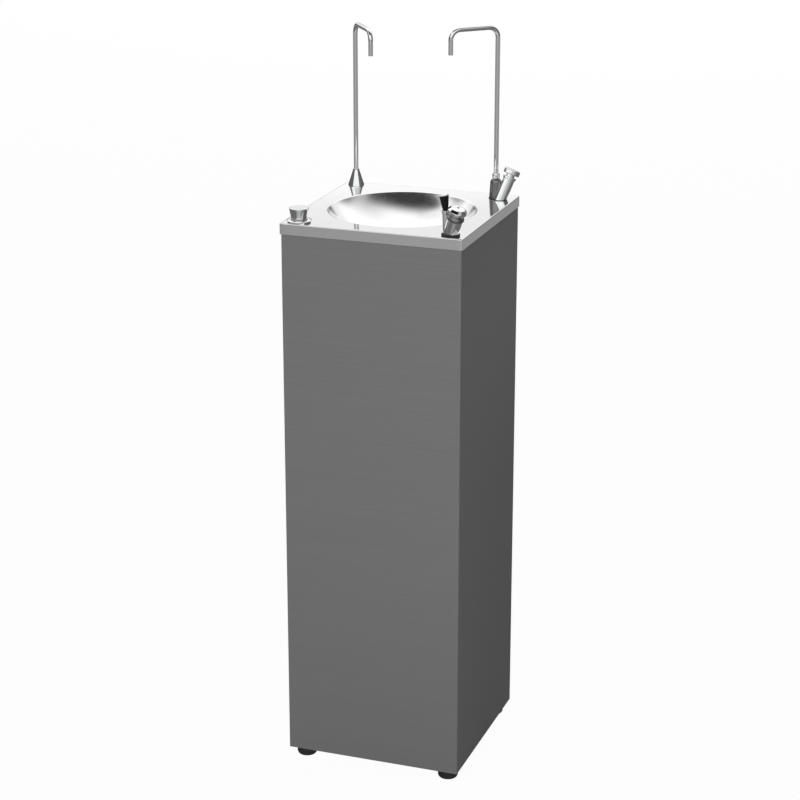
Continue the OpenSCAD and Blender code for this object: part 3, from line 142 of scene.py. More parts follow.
# %% [markdown]
# The cabinet is a dull grey sheet with a level grain: the noise runs slowly along X and Y and fast along
# Z, so front and sides show the same brushing. The top is steel polished to a mirror, and the fittings
# are chromed brass. The black enamel has little shine, so it stays black among bright things; on the
# guard's back it paints a dark reflection. The other finishes belong to the feet, to what shows at the
# rear and to the parts inside.

# %% Finishes by slot
finishes = {
    "cabinet_steel": grained("brushed_sheet", (0.172, 0.172, 0.174), 0.15, 0.46, (3, 3, 900),
                             tint=0.05, spread=0.05, bump=0.12),
    "polished_steel": grained("mirror_sheet", (0.89, 0.89, 0.895), 1.0, 0.07, (40, 40, 40),
                              tint=0.01, spread=0.02),
    "chrome_plate": grained("chrome_plating", (0.87, 0.875, 0.88), 1.0, 0.045, (60, 60, 60),
                            tint=0.01, spread=0.015),
    "zinc_steel": grained("zinc_plating", (0.60, 0.61, 0.62), 0.9, 0.38, (90, 90, 90),
                          tint=0.12, spread=0.08, bump=0.1),
    "black_plastic": grained("moulded_nylon", (0.018, 0.018, 0.019), 0.0, 0.5, (900, 900, 900),
                             tint=0.15, spread=0.08, bump=0.2),
    "black_rubber": grained("soft_rubber", (0.02, 0.02, 0.02), 0.0, 0.75, (500, 500, 500),
                            tint=0.2, spread=0.08, bump=0.3),
    "black_enamel": grained("black_enamel", (0.007, 0.007, 0.008), 0.0, 0.4, (250, 250, 250),
                            tint=0.1, spread=0.06, bump=0.15),
    "brass_body": grained("turned_brass", (0.70, 0.52, 0.25), 1.0, 0.26, (500, 30, 500),
                          tint=0.08, spread=0.06, bump=0.05),
    "copper_tube": grained("drawn_copper", (0.72, 0.40, 0.26), 1.0, 0.3, (60, 60, 60),
                           tint=0.12, spread=0.08),
    "fin_aluminium": grained("rolled_fins", (0.75, 0.76, 0.77), 1.0, 0.34, (20, 20, 600),
                             tint=0.06, spread=0.06, bump=0.05),
    "foam": grained("bead_foam", (0.86, 0.86, 0.83), 0.0, 0.85, (220, 220, 220),
                    tint=0.06, spread=0.05, bump=0.6),
    "water_tube": grained("drawn_tube", (0.80, 0.82, 0.84), 0.0, 0.35, (200, 200, 20),
                          tint=0.04, spread=0.06),
}
ENAMEL_SHINE = 0.15
enamel_shader = finishes["black_enamel"].node_tree.nodes["Principled BSDF"]
enamel_shader.inputs["Specular IOR Level"].default_value = ENAMEL_SHINE
slot_of = {part["node"]: part["material_slot"] for part in frame["record"]["subparts"]}
for node, shape in frame["nodes"].items():
    shape.data.materials.clear()
    shape.data.materials.append(finishes[slot_of[node]])
print("finishes:", len(finishes))

# %% [markdown]
# ## Turned shapes
# Most fittings are turned on a lathe, so their meshes are outlines spun round an axis. A sharp corner
# never catches light, so each outline point can carry a fillet, and short holding steps beside every
# fillet keep the flats flat when the mesh is shaded smooth.

# %% Rounded outlines
HOLD = 0.12 * MM
HOLD_ROOM = 5 * HOLD
FILLET_STEPS = 5
FILLET_SHARE = 0.48


def softened(points):
    """Rounds the corners of (radius, height, fillet) points, in millimetres, and returns metres."""
    flat = [Vector((p[0], p[1])) * MM for p in points]
    fillets = [p[2] * MM if len(p) > 2 else 0.0 for p in points]
    outline = []
    for i, corner in enumerate(flat):
        if not fillets[i] or i in (0, len(flat) - 1):
            outline.append([corner])
            continue
        ends = []
        for other in (flat[i - 1], flat[i + 1]):
            way = other - corner
            reach = min(fillets[i], way.length * FILLET_SHARE)
            ends.append(corner + way.normalized() * reach)
        arc = []
        for k in range(FILLET_STEPS + 1):
            s = k / FILLET_STEPS
            arc.append(ends[0] * (1 - s) ** 2 + corner * 2 * s * (1 - s) + ends[1] * s * s)
        outline.append(arc)
    held = list(outline[0])
    for before, after in zip(outline, outline[1:]):
        way = after[0] - before[-1]
        if way.length > HOLD_ROOM:
            held.append(before[-1] + way.normalized() * HOLD)
            held.append(after[0] - way.normalized() * HOLD)
        held.extend(after)
    return held


print("each fillet has", FILLET_STEPS, "steps")

# %% Lathe
SMOOTH = 38
TOUCHING = 1e-7


def shaded(mesh, angle=SMOOTH):
    """Merges doubles, turns the faces outwards and shades the mesh smooth up to an angle."""
    work = bmesh.new()
    work.from_mesh(mesh)
    bmesh.ops.remove_doubles(work, verts=work.verts, dist=TOUCHING)
    bmesh.ops.recalc_face_normals(work, faces=work.faces)
    work.to_mesh(mesh)
    work.free()
    mesh.shade_smooth()
    mesh.set_sharp_from_angle(angle=math.radians(angle))
    return mesh


def lathed(name, points, turns=96, closed=False):
    """Spins an outline round Z. A closed outline is a ring, an open one starts and ends on the axis."""
    outline = softened(points + points[:1] if closed else points)
    verts, faces, rows = [], [], []
    for radius, height in outline:
        if radius < TOUCHING:
            rows.append([len(verts)] * turns)
            verts.append((0, 0, height))
            continue
        rows.append(range(len(verts), len(verts) + turns))
        for i in range(turns):
            a = math.tau * i / turns
            verts.append((radius * math.cos(a), radius * math.sin(a), height))
    for low, high in zip(rows, rows[1:]):
        for i in range(turns):
            j = (i + 1) % turns
            face = list(dict.fromkeys((low[i], low[j], high[j], high[i])))
            if len(face) > 2:
                faces.append(face)
    mesh = bpy.data.meshes.new(name)
    mesh.from_pydata(verts, [], faces)
    return shaded(mesh)


print("turned meshes are smooth up to", SMOOTH, "degrees")

# %% [markdown]
# ## Pieces
# A mesh becomes a piece when it has a finish, rides on a body of the frame and stands in for the plain
# solids that it covers. That could be written out for each mesh, but one helper does it for all, so no
# step is missed. Modifiers such as Solidify are applied at once, since a piece has to be a plain mesh.

# %% Piece helpers


def joined(name, meshes):
    """One mesh from several that share a body."""
    work = bmesh.new()
    for mesh in meshes:
        work.from_mesh(mesh)
    whole = bpy.data.meshes.new(name)
    work.to_mesh(whole)
    work.free()
    for mesh in meshes:
        bpy.data.meshes.remove(mesh)
    return whole


def piece(name, mesh, body, slot, *nodes):
    """Puts a finished mesh in the scene, on its body, in place of its CAD nodes."""
    made = bpy.data.objects.new(name, mesh)
    scene.collection.objects.link(made)
    mesh.materials.clear()
    mesh.materials.append(finishes[slot])
    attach(made, body)
    if nodes:
        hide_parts(*nodes)
    print(name, "rides on", body, "with", len(mesh.polygons), "faces")
    return made


def baked(name, mesh, **modifiers):
    """The mesh that is left when modifiers, given by type with their settings, are applied."""
    holder = bpy.data.objects.new(name + "_raw", mesh)
    scene.collection.objects.link(holder)
    for kind, settings in modifiers.items():
        modifier = holder.modifiers.new(kind, kind)
        for key, value in settings.items():
            setattr(modifier, key, value)
    result = bpy.data.meshes.new_from_object(holder.evaluated_get(bpy.context.evaluated_depsgraph_get()))
    result.name = name
    bpy.data.objects.remove(holder)
    return result


# %% [markdown]
# ## Cabinet
# The cabinet is one sheet folded round the front: two sides and the front, with a small radius at each
# fold. At the rear the sides step inwards to flanges that carry the rear panel. A ribbon drawn in plan,
# raised to height and thickened is exactly how a sheet-metal part is made, so that is the method here.

# %% Cabinet wrap
shell_low, shell_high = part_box("cabinet_shell")
panel_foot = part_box("rear_panel")[0].z
SHEET = 1.0 * MM
SHEET_EDGE = 0.2 * MM
FOLD = 2.0 * MM
FOLD_STEPS = 8
JOGGLE = 8.0 * MM
FLANGE = 18.0 * MM
NICHE = 24.0 * MM
NICHE_MARGIN = 1.0 * MM
NICHE_HEIGHT = 839 * MM
half = shell_high.x
niche_low = panel_foot - NICHE_MARGIN
niche_high = niche_low + NICHE_HEIGHT


def ribbon(name, plan, low, high):
    """A sheet that stands on a line drawn in plan, between two heights, before it gets its thickness."""
    verts = [(x, y, z) for z in (low, high) for x, y in plan]
    count = len(plan)
    faces = [(i, i + 1, count + i + 1, count + i) for i in range(count - 1)]
    mesh = bpy.data.meshes.new(name)
    mesh.from_pydata(verts, [], faces)
    mesh.shade_smooth()
    mesh.set_sharp_from_angle(angle=math.radians(SMOOTH))
    return mesh


def folded(corner_x, corner_y, start):
    """Points of a fold's arc round its centre, a quarter turn from a start angle."""
    angles = [start + math.pi / 2 * k / FOLD_STEPS for k in range(FOLD_STEPS + 1)]
    return [(corner_x + FOLD * math.cos(a), corner_y + FOLD * math.sin(a)) for a in angles]


left_fold = folded(-half + FOLD, -half + FOLD, math.pi)
right_fold = folded(half - FOLD, -half + FOLD, 1.5 * math.pi)
wrap_plan = [(-half, half), (-half, -half + FOLD + HOLD)] + left_fold
wrap_plan += [(-half + FOLD + HOLD, -half), (half - FOLD - HOLD, -half)] + right_fold
wrap_plan += [(half, -half + FOLD + HOLD), (half, half)]
step_plan = [(half - SHEET, half), (half - JOGGLE, half), (half - JOGGLE, half - NICHE - SHEET),
             (half - JOGGLE - FLANGE, half - NICHE - SHEET)]
wrap = ribbon("wrap", wrap_plan, shell_low.z, shell_high.z)
left_step = ribbon("left_step", [(-x, y) for x, y in step_plan][::-1], niche_low, niche_high)
right_step = ribbon("right_step", step_plan, niche_low, niche_high)
sheets = joined("cabinet_wrap", [wrap, left_step, right_step])
sheets.shade_smooth()
sheets = baked("cabinet_wrap", sheets, SOLIDIFY={"thickness": SHEET, "offset": -1, "use_even_offset": True},
               BEVEL={"width": SHEET_EDGE, "segments": 2, "limit_method": "ANGLE"})
piece("cabinet_wrap", sheets, "cabinet", "cabinet_steel", "cabinet_shell")

# %% [markdown]
# ## Top and bowl
# The top is pressed from one sheet: a flat deck, a rolled lip and a bowl that is part of a sphere, with a
# folded skirt outside. A mirror shows every ripple, so the sheet is built from clean rings, round ones for
# the bowl and rounded squares for the skirt, and the deck between them is truly flat. The thickness comes
# last, from Solidify. The bowl is a little duller than the deck, so its faces get a finish of their own.

# %% Bowl sizes
top_low, top_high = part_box("worktop")
BOWL_RADIUS = 126 * MM
BOWL_DEPTH = 62 * MM
LIP = 3.5 * MM
SEAT_RADIUS = 34 * MM
SEAT_EDGE = 1.5 * MM
WASTE_HOLE = 20.3 * MM
deck = top_high.z
bowl_slope = 2 * math.atan(BOWL_DEPTH / BOWL_RADIUS)
sphere = BOWL_RADIUS / math.sin(bowl_slope) - LIP
sphere_z = deck - BOWL_DEPTH + sphere
seat_z = sphere_z - math.sqrt(sphere ** 2 - SEAT_RADIUS ** 2)
print("the bowl's sphere has a radius of", round(sphere / MM, 1), "mm")

# %% Rings of the top
EDGE = 2.0 * MM
CORNER = EDGE + 0.5 * MM
SIDE_STEPS = 48
CORNER_STEPS = 6
lid_half = top_high.x


def rounded_square(half_side, corner):
    """Points of a square with rounded corners, anticlockwise, with the same count for every size."""
    points = []
    for q in range(4):
        turn = Matrix.Rotation(math.pi / 2 * q, 2)
        for k in range(CORNER_STEPS + 1):
            a = math.pi / 2 * k / CORNER_STEPS
            x = half_side - corner + corner * math.cos(a)
            y = half_side - corner + corner * math.sin(a)
            points.append(turn @ Vector((x, y)))
        for k in range(1, SIDE_STEPS):
            s = k / SIDE_STEPS
            points.append(turn @ Vector(((half_side - corner) * (1 - 2 * s), half_side)))
    return points


outer = rounded_square(lid_half, CORNER)
angles = [math.atan2(p.y, p.x) for p in outer]


def round_ring(radius, height):
    """A level ring of the bowl with one point for each point of the skirt."""
    return [(radius * math.cos(a), radius * math.sin(a), height) for a in angles]


def square_ring(inset, height):
    """A level ring of the deck or the skirt."""
    return [(p.x, p.y, height) for p in rounded_square(lid_half - inset, CORNER - inset)]


print("each ring has", len(outer), "points")

# %% Top and bowl
LID = 1.2 * MM
LID_SMOOTH = 50
SPHERE_STEPS = 44
LIP_STEPS = 16
EDGE_STEPS = 7
rings = [round_ring(WASTE_HOLE, seat_z), round_ring(SEAT_RADIUS - SEAT_EDGE, seat_z)]
seat_angle = math.asin(SEAT_RADIUS / sphere)
for k in range(SPHERE_STEPS + 1):
    a = seat_angle + (bowl_slope - seat_angle) * k / SPHERE_STEPS
    rings.append(round_ring(sphere * math.sin(a), sphere_z - sphere * math.cos(a)))
for k in range(1, LIP_STEPS + 1):
    a = bowl_slope * (1 - k / LIP_STEPS)
    rings.append(round_ring(BOWL_RADIUS - LIP * math.sin(a), deck - LIP + LIP * math.cos(a)))
rings.append(round_ring(BOWL_RADIUS + 2 * HOLD, deck))
rings.append(square_ring(EDGE + 2 * HOLD, deck))
for k in range(EDGE_STEPS + 1):
    a = math.pi / 2 * k / EDGE_STEPS
    rings.append(square_ring(EDGE * (1 - math.sin(a)), deck - EDGE * (1 - math.cos(a))))
rings.append(square_ring(0, deck - EDGE - 2 * HOLD))
rings.append(square_ring(0, top_low.z))

count = len(outer)
verts = [point for ring in rings for point in ring]
faces = []
for i in range(len(rings) - 1):
    for j in range(count):
        k = (j + 1) % count
        faces.append((i * count + j, (i + 1) * count + j, (i + 1) * count + k, i * count + k))
sheet = bpy.data.meshes.new("pressed_top")
sheet.from_pydata(verts, [], faces)
sheet.shade_smooth()
sheet = baked("pressed_top", sheet, SOLIDIFY={"thickness": LID, "offset": -1, "use_even_offset": True})
sheet.set_sharp_from_angle(angle=math.radians(LID_SMOOTH))
piece("pressed_top", sheet, "cabinet", "polished_steel", "worktop", "basin")
spun = grained("spun_bowl", (0.92, 0.92, 0.925), 1.0, 0.2, (60, 60, 60), tint=0.01, spread=0.03)
sheet.materials.append(spun)
for face in sheet.polygons:
    face.material_index = int(face.center.xy.length < BOWL_RADIUS)

# %% [markdown]
# ## Glass spouts
# Each spout is thin chromed tube with two equal bends. A tree of Geometry Nodes rounds the corners of a
# four-point line and sweeps a circle along it, so the bend and the tube are named inputs. A bevelled
# curve would do for one spout, but the tree serves the wire of the mouth guard too. Solidify then gives
# the tube its wall, which shows at the mouth.

# %% Node tree helpers


def new_tree(name, *inputs):
    """A tree of Geometry Nodes with one geometry input and named inputs of the given kinds."""
    tree = bpy.data.node_groups.new(name, "GeometryNodeTree")
    tree.interface.new_socket("Geometry", in_out="INPUT", socket_type="NodeSocketGeometry")
    for label, kind in inputs:
        tree.interface.new_socket(label, in_out="INPUT", socket_type="NodeSocket" + kind)
    tree.interface.new_socket("Geometry", in_out="OUTPUT", socket_type="NodeSocketGeometry")
    start = tree.nodes.new("NodeGroupInput")
    end = tree.nodes.new("NodeGroupOutput")
    return tree, start.outputs, end.inputs


def finish_tree(tree, start, end, geometry):
    """Ends a tree in realized instances with a material."""
    realize = tree.nodes.new("GeometryNodeRealizeInstances")
    paint = tree.nodes.new("GeometryNodeSetMaterial")
    tree.links.new(geometry, realize.inputs["Geometry"])
    tree.links.new(realize.outputs["Geometry"], paint.inputs["Geometry"])
    tree.links.new(start["Finish"], paint.inputs["Material"])
    tree.links.new(paint.outputs["Geometry"], end["Geometry"])
    print(tree.name, "tree has", len(tree.nodes), "nodes")


def grown(name, data, tree, **values):
    """The plain mesh that a tree makes of some data, with its inputs set by their identifiers."""
    holder = bpy.data.objects.new(name + "_raw", data)
    scene.collection.objects.link(holder)
    modifier = holder.modifiers.new("growth", "NODES")
    modifier.node_group = tree
    for item in tree.interface.items_tree:
        if item.in_out == "INPUT" and item.name in values:
            modifier[item.identifier] = values[item.name]
    result = bpy.data.meshes.new_from_object(holder.evaluated_get(bpy.context.evaluated_depsgraph_get()))
    result.name = name
    holder.modifiers.remove(modifier)
    bpy.data.objects.remove(holder)
    return result


print("node trees so far:", len(bpy.data.node_groups))

# %% Bent tube tree
BEND_STEPS = 14
TUBE_SIDES = 40
tube_tree, tube_in, tube_out = new_tree("bent_tube", ("Bend", "Float"), ("Radius", "Float"),
                                        ("Finish", "Material"))
fillet = tube_tree.nodes.new("GeometryNodeFilletCurve")
fillet.mode = "POLY"
fillet.inputs["Count"].default_value = BEND_STEPS
ring = tube_tree.nodes.new("GeometryNodeCurvePrimitiveCircle")
ring.inputs["Resolution"].default_value = TUBE_SIDES
sweep = tube_tree.nodes.new("GeometryNodeCurveToMesh")
smooth = tube_tree.nodes.new("GeometryNodeSetShadeSmooth")
join = tube_tree.links.new
join(tube_in["Geometry"], fillet.inputs["Curve"])
join(tube_in["Bend"], fillet.inputs["Radius"])
join(tube_in["Radius"], ring.inputs["Radius"])
join(fillet.outputs["Curve"], sweep.inputs["Curve"])
join(ring.outputs["Curve"], sweep.inputs["Profile Curve"])
join(sweep.outputs["Mesh"], smooth.inputs["Geometry"])
finish_tree(tube_tree, tube_in, tube_out, smooth.outputs["Geometry"])

# %% Glass spouts
SPOUT_RADIUS = 4 * MM
SPOUT_WALL = 0.8 * MM
SPOUT_BEND = 17 * MM
SPOUT_REACH = 86 * MM
SPOUT_DROP = 41 * MM
SPOUT_SMOOTH = 50
FILLER_TURN = -52
TAP_TURN = -137


def drawn_line(name, route):
    """A curve of straight lines through the points of a route."""
    curve = bpy.data.curves.new(name, "CURVE")
    curve.dimensions = "3D"
    line = curve.splines.new("POLY")
    line.points.add(len(route) - 1)
    for point, place in zip(line.points, route):
        point.co = (*place, 1)
    return curve


def spout(name, node, swivel, turn):
    """A glass spout that stands on its swivel, with its arm at a turn in degrees."""
    low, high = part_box(node)
    x, y = joints[swivel]["pos_m"][:2]
    arm = high.z - SPOUT_RADIUS - low.z
    route = [(0, 0, 0), (0, 0, arm), (SPOUT_REACH, 0, arm), (SPOUT_REACH, 0, arm - SPOUT_DROP)]
    mesh = grown(name, drawn_line(name, route), tube_tree, Bend=SPOUT_BEND, Radius=SPOUT_RADIUS,
                 Finish=finishes["chrome_plate"])
    mesh.transform(Matrix.Translation((x, y, low.z)) @ Matrix.Rotation(math.radians(turn), 4, "Z"))
    shaded(mesh)
    mesh = baked(name, mesh, SOLIDIFY={"thickness": SPOUT_WALL, "offset": -1})
    mesh.set_sharp_from_angle(angle=math.radians(SPOUT_SMOOTH))
    piece(name, mesh, swivel, "chrome_plate", node)


spout("filler_glass_spout", "filler_spout", "filler_swivel", FILLER_TURN)
spout("tap_glass_spout", "tap_spout", "tap_swivel", TAP_TURN)

# %% [markdown]
# ## Filler base
# A slim cone carries the left spout. Blender's own cone would have knife edges and no socket, so an
# outline with small fillets is spun instead, in millimetres from the deck up.

# %% Filler base
filler_x, filler_y = joints["filler_swivel"]["pos_m"][:2]
SOCKET = 4.15
SOCKET_FLOOR = 10
CONE_FOOT = 14
CONE_TOP = 5.2
CONE_HEIGHT = 30
cone = lathed("filler_cone", [(0, SOCKET_FLOOR), (SOCKET, SOCKET_FLOOR), (SOCKET, CONE_HEIGHT, 0.3),
                              (CONE_TOP, CONE_HEIGHT, 0.5), (CONE_TOP, CONE_HEIGHT - 1.6, 1.5),
                              (CONE_FOOT, 1, 0.3), (CONE_FOOT, 0), (0, 0)])
cone.transform(Matrix.Translation((filler_x, filler_y, deck)))
piece("filler_cone", cone, "cabinet", "chrome_plate", "filler_base")

# %% [markdown]
# ## Push knob
# The knob at the front left opens the valve of the left spout. It has a narrow waist and a wide flat top,
# and sinks into a round rose when it is pressed. Both are turned parts, so both are spun outlines, and
# they stay two pieces because only the knob moves.

# %% Push knob
knob_low, knob_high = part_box("push_knob")
KNOB_HEIGHT = 19
KNOB_BORE = 9.5
KNOB_ROOF = 12
KNOB_TOP = 16.3
STEM = 3
STEM_LENGTH = 60
ROSE = 20.5
ROSE_HEIGHT = 4
ROSE_WELL = 13.9
ROSE_FLOOR = 0.6
ROSE_BORE = 8.1
knob_x = (knob_low.x + knob_high.x) / 2
knob_y = (knob_low.y + knob_high.y) / 2
rose = lathed("knob_rose", [(ROSE_BORE, 0), (ROSE, 0), (ROSE, 2.7, 0.3), (18.6, 3.7, 0.6),
                            (16.9, ROSE_HEIGHT, 0.6), (ROSE_WELL, ROSE_HEIGHT, 0.3),
                            (ROSE_WELL, ROSE_FLOOR), (ROSE_BORE, ROSE_FLOOR)], closed=True)
rose.transform(Matrix.Translation((knob_x, knob_y, deck)))
piece("knob_rose", rose, "cabinet", "chrome_plate", "valve_rose")
cap = lathed("knob_cap", [(0, KNOB_ROOF), (KNOB_BORE, KNOB_ROOF), (KNOB_BORE, 0), (13.2, 0, 0.3),
                          (13.6, 0.8, 0.4), (13.7, 4.5, 2), (KNOB_TOP, 17.2, 0.5), (KNOB_TOP, 18.3, 0.5),
                          (15.6, KNOB_HEIGHT, 0.5), (0, KNOB_HEIGHT)])
stem = lathed("knob_stem", [(0, -STEM_LENGTH), (STEM, -STEM_LENGTH, 0.4), (STEM, KNOB_ROOF + 0.5),
                            (0, KNOB_ROOF + 0.5)], turns=32)
knob = joined("knob_cap", [cap, stem])
knob.transform(Matrix.Translation((knob_x, knob_y, knob_high.z - KNOB_HEIGHT * MM)))
piece("knob_cap", knob, "knob", "chrome_plate", "push_knob")

# %% [markdown]
# ## Push tap
# The tap at the rear right is a casting on a thin rubber seal, whose black also paints the contact shadow
# at the deck. The casting is an upright riser with the spout in it, and a barrel that leans out over the
# corner with a push button on its end. The barrel could be modelled where it leans, but a turned shape is
# easiest to draw upright. So it is drawn upright and longer than needed, set on the joint's own axis and
# cut flat at the deck.

# %% Leaning castings


def leaning(foot, turn, lean):
    """The matrix of an axis that stands on foot and leans from upright towards a compass turn."""
    return Matrix.Translation(foot) @ Matrix.Rotation(turn, 4, "Z") @ Matrix.Rotation(lean, 4, "Y")


def cut_below(mesh, height):
    """Cuts a mesh flat at a height and closes the cut."""
    work = bmesh.new()
    work.from_mesh(mesh)
    everything = work.verts[:] + work.edges[:] + work.faces[:]
    cut = bmesh.ops.bisect_plane(work, geom=everything, plane_co=(0, 0, height), plane_no=(0, 0, 1),
                                 clear_inner=True)
    rim = [e for e in cut["geom_cut"] if isinstance(e, bmesh.types.BMEdge)]
    bmesh.ops.holes_fill(work, edges=rim, sides=0)
    work.to_mesh(mesh)
    work.free()
    mesh.set_sharp_from_angle(angle=math.radians(SMOOTH))
    return mesh


print("castings on the deck are cut", round(deck, 4), "m above the floor")

# %% Push tap
push = -Vector(joints["tap_press"]["axis"])
tap_turn = math.atan2(push.y, push.x)
tap_lean = math.acos(push.z)
tap_foot = Vector((*joints["tap_swivel"]["pos_m"][:2], deck))
BARREL_OFFSET = 13 * MM
BARREL_PLACE = math.radians(-35)
BARREL = 41.5
BARREL_RADIUS = 10
BARREL_LIP = 11.4
BARREL_BORE = 7.2
BARREL_FLOOR = 20
CUT_ROOM = 8
TAP_RISER = 33
TAP_RISER_FOOT = 11.5
TAP_SOCKET_FLOOR = 20
aside = Vector((math.cos(BARREL_PLACE), math.sin(BARREL_PLACE), 0))
barrel_foot = tap_foot + aside * BARREL_OFFSET
barrel_axis = leaning(barrel_foot, tap_turn, tap_lean)
riser = lathed("tap_riser", [(0, TAP_SOCKET_FLOOR), (SOCKET, TAP_SOCKET_FLOOR), (SOCKET, TAP_RISER),
                             (7.5, TAP_RISER, 0.5), (9.5, 30, 1.5), (11.2, 3, 1), (TAP_RISER_FOOT, 0),
                             (0, 0)])
riser.transform(Matrix.Translation(tap_foot))
riser_faces = len(riser.polygons)
barrel = lathed("tap_barrel", [(0, BARREL_FLOOR), (BARREL_BORE, BARREL_FLOOR), (BARREL_BORE, BARREL, 0.3),
                               (BARREL_LIP, BARREL, 0.6), (BARREL_LIP, BARREL - 4, 0.6),
                               (BARREL_RADIUS, BARREL - 4, 0.4), (BARREL_RADIUS, -CUT_ROOM),
                               (0, -CUT_ROOM)])
barrel.transform(barrel_axis)
cut_below(barrel, deck)
casting = joined("tap_casting", [riser, barrel])
piece("tap_casting", casting, "cabinet", "chrome_plate", "tap_body")

# %% [markdown]
# The riser is darker than the barrel: its faces take a duller satin copy of the chrome, whose darker
# colour paints shade on it. Both are one casting, so the riser's faces take a second material. The seal
# is a thin disc under each foot, whose black also paints the contact shadow. The barrel meets the deck at
# a slant, where a round section is an ellipse, so its disc is stretched by the lean.

# %% Riser with painted shade, and seal
SHADOW_SEAL = 0.9
SHADOW_SEAL_EDGE = 0.5
# A duller, darker copy of the chrome: its dark colour paints shade on the riser and the collar.
satin_painted_shade = grained("satin_plating_painted_shade", (0.28, 0.28, 0.276), 1.0, 0.3, (120, 120, 120),
                tint=0.05, spread=0.05, bump=0.03)
casting.materials.append(satin_painted_shade)
for face in casting.polygons[:riser_faces]:
    face.material_index = 1


def shadow_seal_disc(name, radius):
    """A thin disc a little wider than the foot that stands on it, whose black paints the contact shadow."""
    edge = radius + SHADOW_SEAL_EDGE
    return lathed(name, [(0, 0), (edge, 0), (edge, SHADOW_SEAL, 0.3), (0, SHADOW_SEAL)])


riser_shadow_seal = shadow_seal_disc("riser_shadow_seal", TAP_RISER_FOOT)
riser_shadow_seal.transform(Matrix.Translation(tap_foot))
barrel_shadow_seal = shadow_seal_disc("barrel_shadow_seal", BARREL_RADIUS)
slant = (math.cos(tap_turn), math.sin(tap_turn), 0)
barrel_shadow_seal.transform(Matrix.Scale(1 / math.cos(tap_lean), 4, slant))
barrel_shadow_seal.transform(Matrix.Translation(barrel_foot))
# The black of the seal also paints the contact shadow where the casting meets the deck.
piece("tap_seal", joined("tap_seal", [riser_shadow_seal, barrel_shadow_seal]), "cabinet", "black_rubber")

# %% Tap nut and button
NUT_BORE = 4.12
NUT_HEIGHT = 11
BUTTON_STEM = 3
BUTTON_GUIDE = 7.14
TAP_BUTTON = 45.9
TAP_BUTTON_RADIUS = 13.8
TAP_BUTTON_TOP = 54.9
nut = lathed("tap_nut", [(NUT_BORE, 0), (4.9, 0, 0.3), (6.5, 2.56, 1.2), (6.5, 8.44, 1.2),
                         (4.9, NUT_HEIGHT, 0.3), (NUT_BORE, NUT_HEIGHT)], closed=True)
nut.transform(Matrix.Translation(tap_foot) @ Matrix.Translation((0, 0, TAP_RISER * MM)))
piece("tap_nut", nut, "cabinet", "chrome_plate", "tap_collar")
button = lathed("tap_push", [(0, 12), (BUTTON_STEM, 12), (BUTTON_STEM, 37.5), (BUTTON_GUIDE, 37.5),
                             (BUTTON_GUIDE, TAP_BUTTON), (13.0, TAP_BUTTON, 0.4),
                             (TAP_BUTTON_RADIUS, TAP_BUTTON + 0.8, 0.4), (TAP_BUTTON_RADIUS, 53.3, 0.7),
                             (12.8, 54.4, 0.7), (10.8, TAP_BUTTON_TOP, 0.6), (0, TAP_BUTTON_TOP)])
button.transform(barrel_axis)
piece("tap_push", button, "tap_push", "chrome_plate", "tap_button")

# %% [markdown]
# ## Bubbler
# The bubbler at the front right has a leaning pillar with a satin collar, darkened to paint shade on it,
# and a push button, a water riser beside it, and a mouth guard that keeps lips off the jet. All but the
# guard are turned. Pillar and riser run together at the foot, so both are drawn longer than needed and
# cut flat on a rubber ring.

# %% Bubbler axes
ring_low, ring_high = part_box("bubbler_ring")
push = -Vector(joints["bubbler_press"]["axis"])
pillar_turn = math.atan2(push.y, push.x)
pillar_lean = math.acos(push.z)
pillar_foot = Vector(((ring_low.x + ring_high.x) / 2, (ring_low.y + ring_high.y) / 2, deck))
pillar_axis = leaning(pillar_foot, pillar_turn, pillar_lean)
RISER_OFFSET = 9 * MM
RISER_LEAN = math.radians(5.5)
away = Vector((math.cos(pillar_turn), math.sin(pillar_turn), 0))
riser_axis = leaning(pillar_foot - away * RISER_OFFSET, pillar_turn + math.pi, RISER_LEAN)
print("the pillar leans by", round(math.degrees(pillar_lean), 1), "degrees")

# %% Bubbler casting
RING = 15.1
RING_BORE = 8.1
RING_HEIGHT = 3
PILLAR = 29
PILLAR_BORE = 9.6
PILLAR_FLOOR = 20
PILLAR_FOOT = 12
RISER = 36
RISER_RADIUS = 6
RISER_BORE = 2.6
RISER_FLOOR = 28
FOOT_ROOM = 6
foot_ring = lathed("bubbler_foot", [(RING_BORE, 0), (RING, 0), (RING, RING_HEIGHT, 0.5),
                                    (RING_BORE, RING_HEIGHT)], closed=True)
foot_ring.transform(Matrix.Translation(pillar_foot))
piece("bubbler_foot", foot_ring, "cabinet", "black_rubber", "bubbler_ring")
pillar = lathed("bubbler_pillar", [(0, PILLAR_FLOOR), (PILLAR_BORE, PILLAR_FLOOR), (PILLAR_BORE, PILLAR),
                                   (13, PILLAR, 0.2), (PILLAR_FOOT, 0), (PILLAR_FOOT, -FOOT_ROOM),
                                   (0, -FOOT_ROOM)])
pillar.transform(pillar_axis)
cut_below(pillar, deck + RING_HEIGHT * MM)
water_riser = lathed("water_riser", [(0, RISER_FLOOR), (RISER_BORE, RISER_FLOOR), (RISER_BORE, RISER),
                                     (RISER_RADIUS, RISER, 0.5), (RISER_RADIUS, -FOOT_ROOM),
                                     (0, -FOOT_ROOM)], turns=64)
water_riser.transform(riser_axis)
cut_below(water_riser, deck + RING_HEIGHT * MM)
castings = joined("bubbler_casting", [pillar, water_riser])
piece("bubbler_casting", castings, "cabinet", "chrome_plate", "bubbler_body")

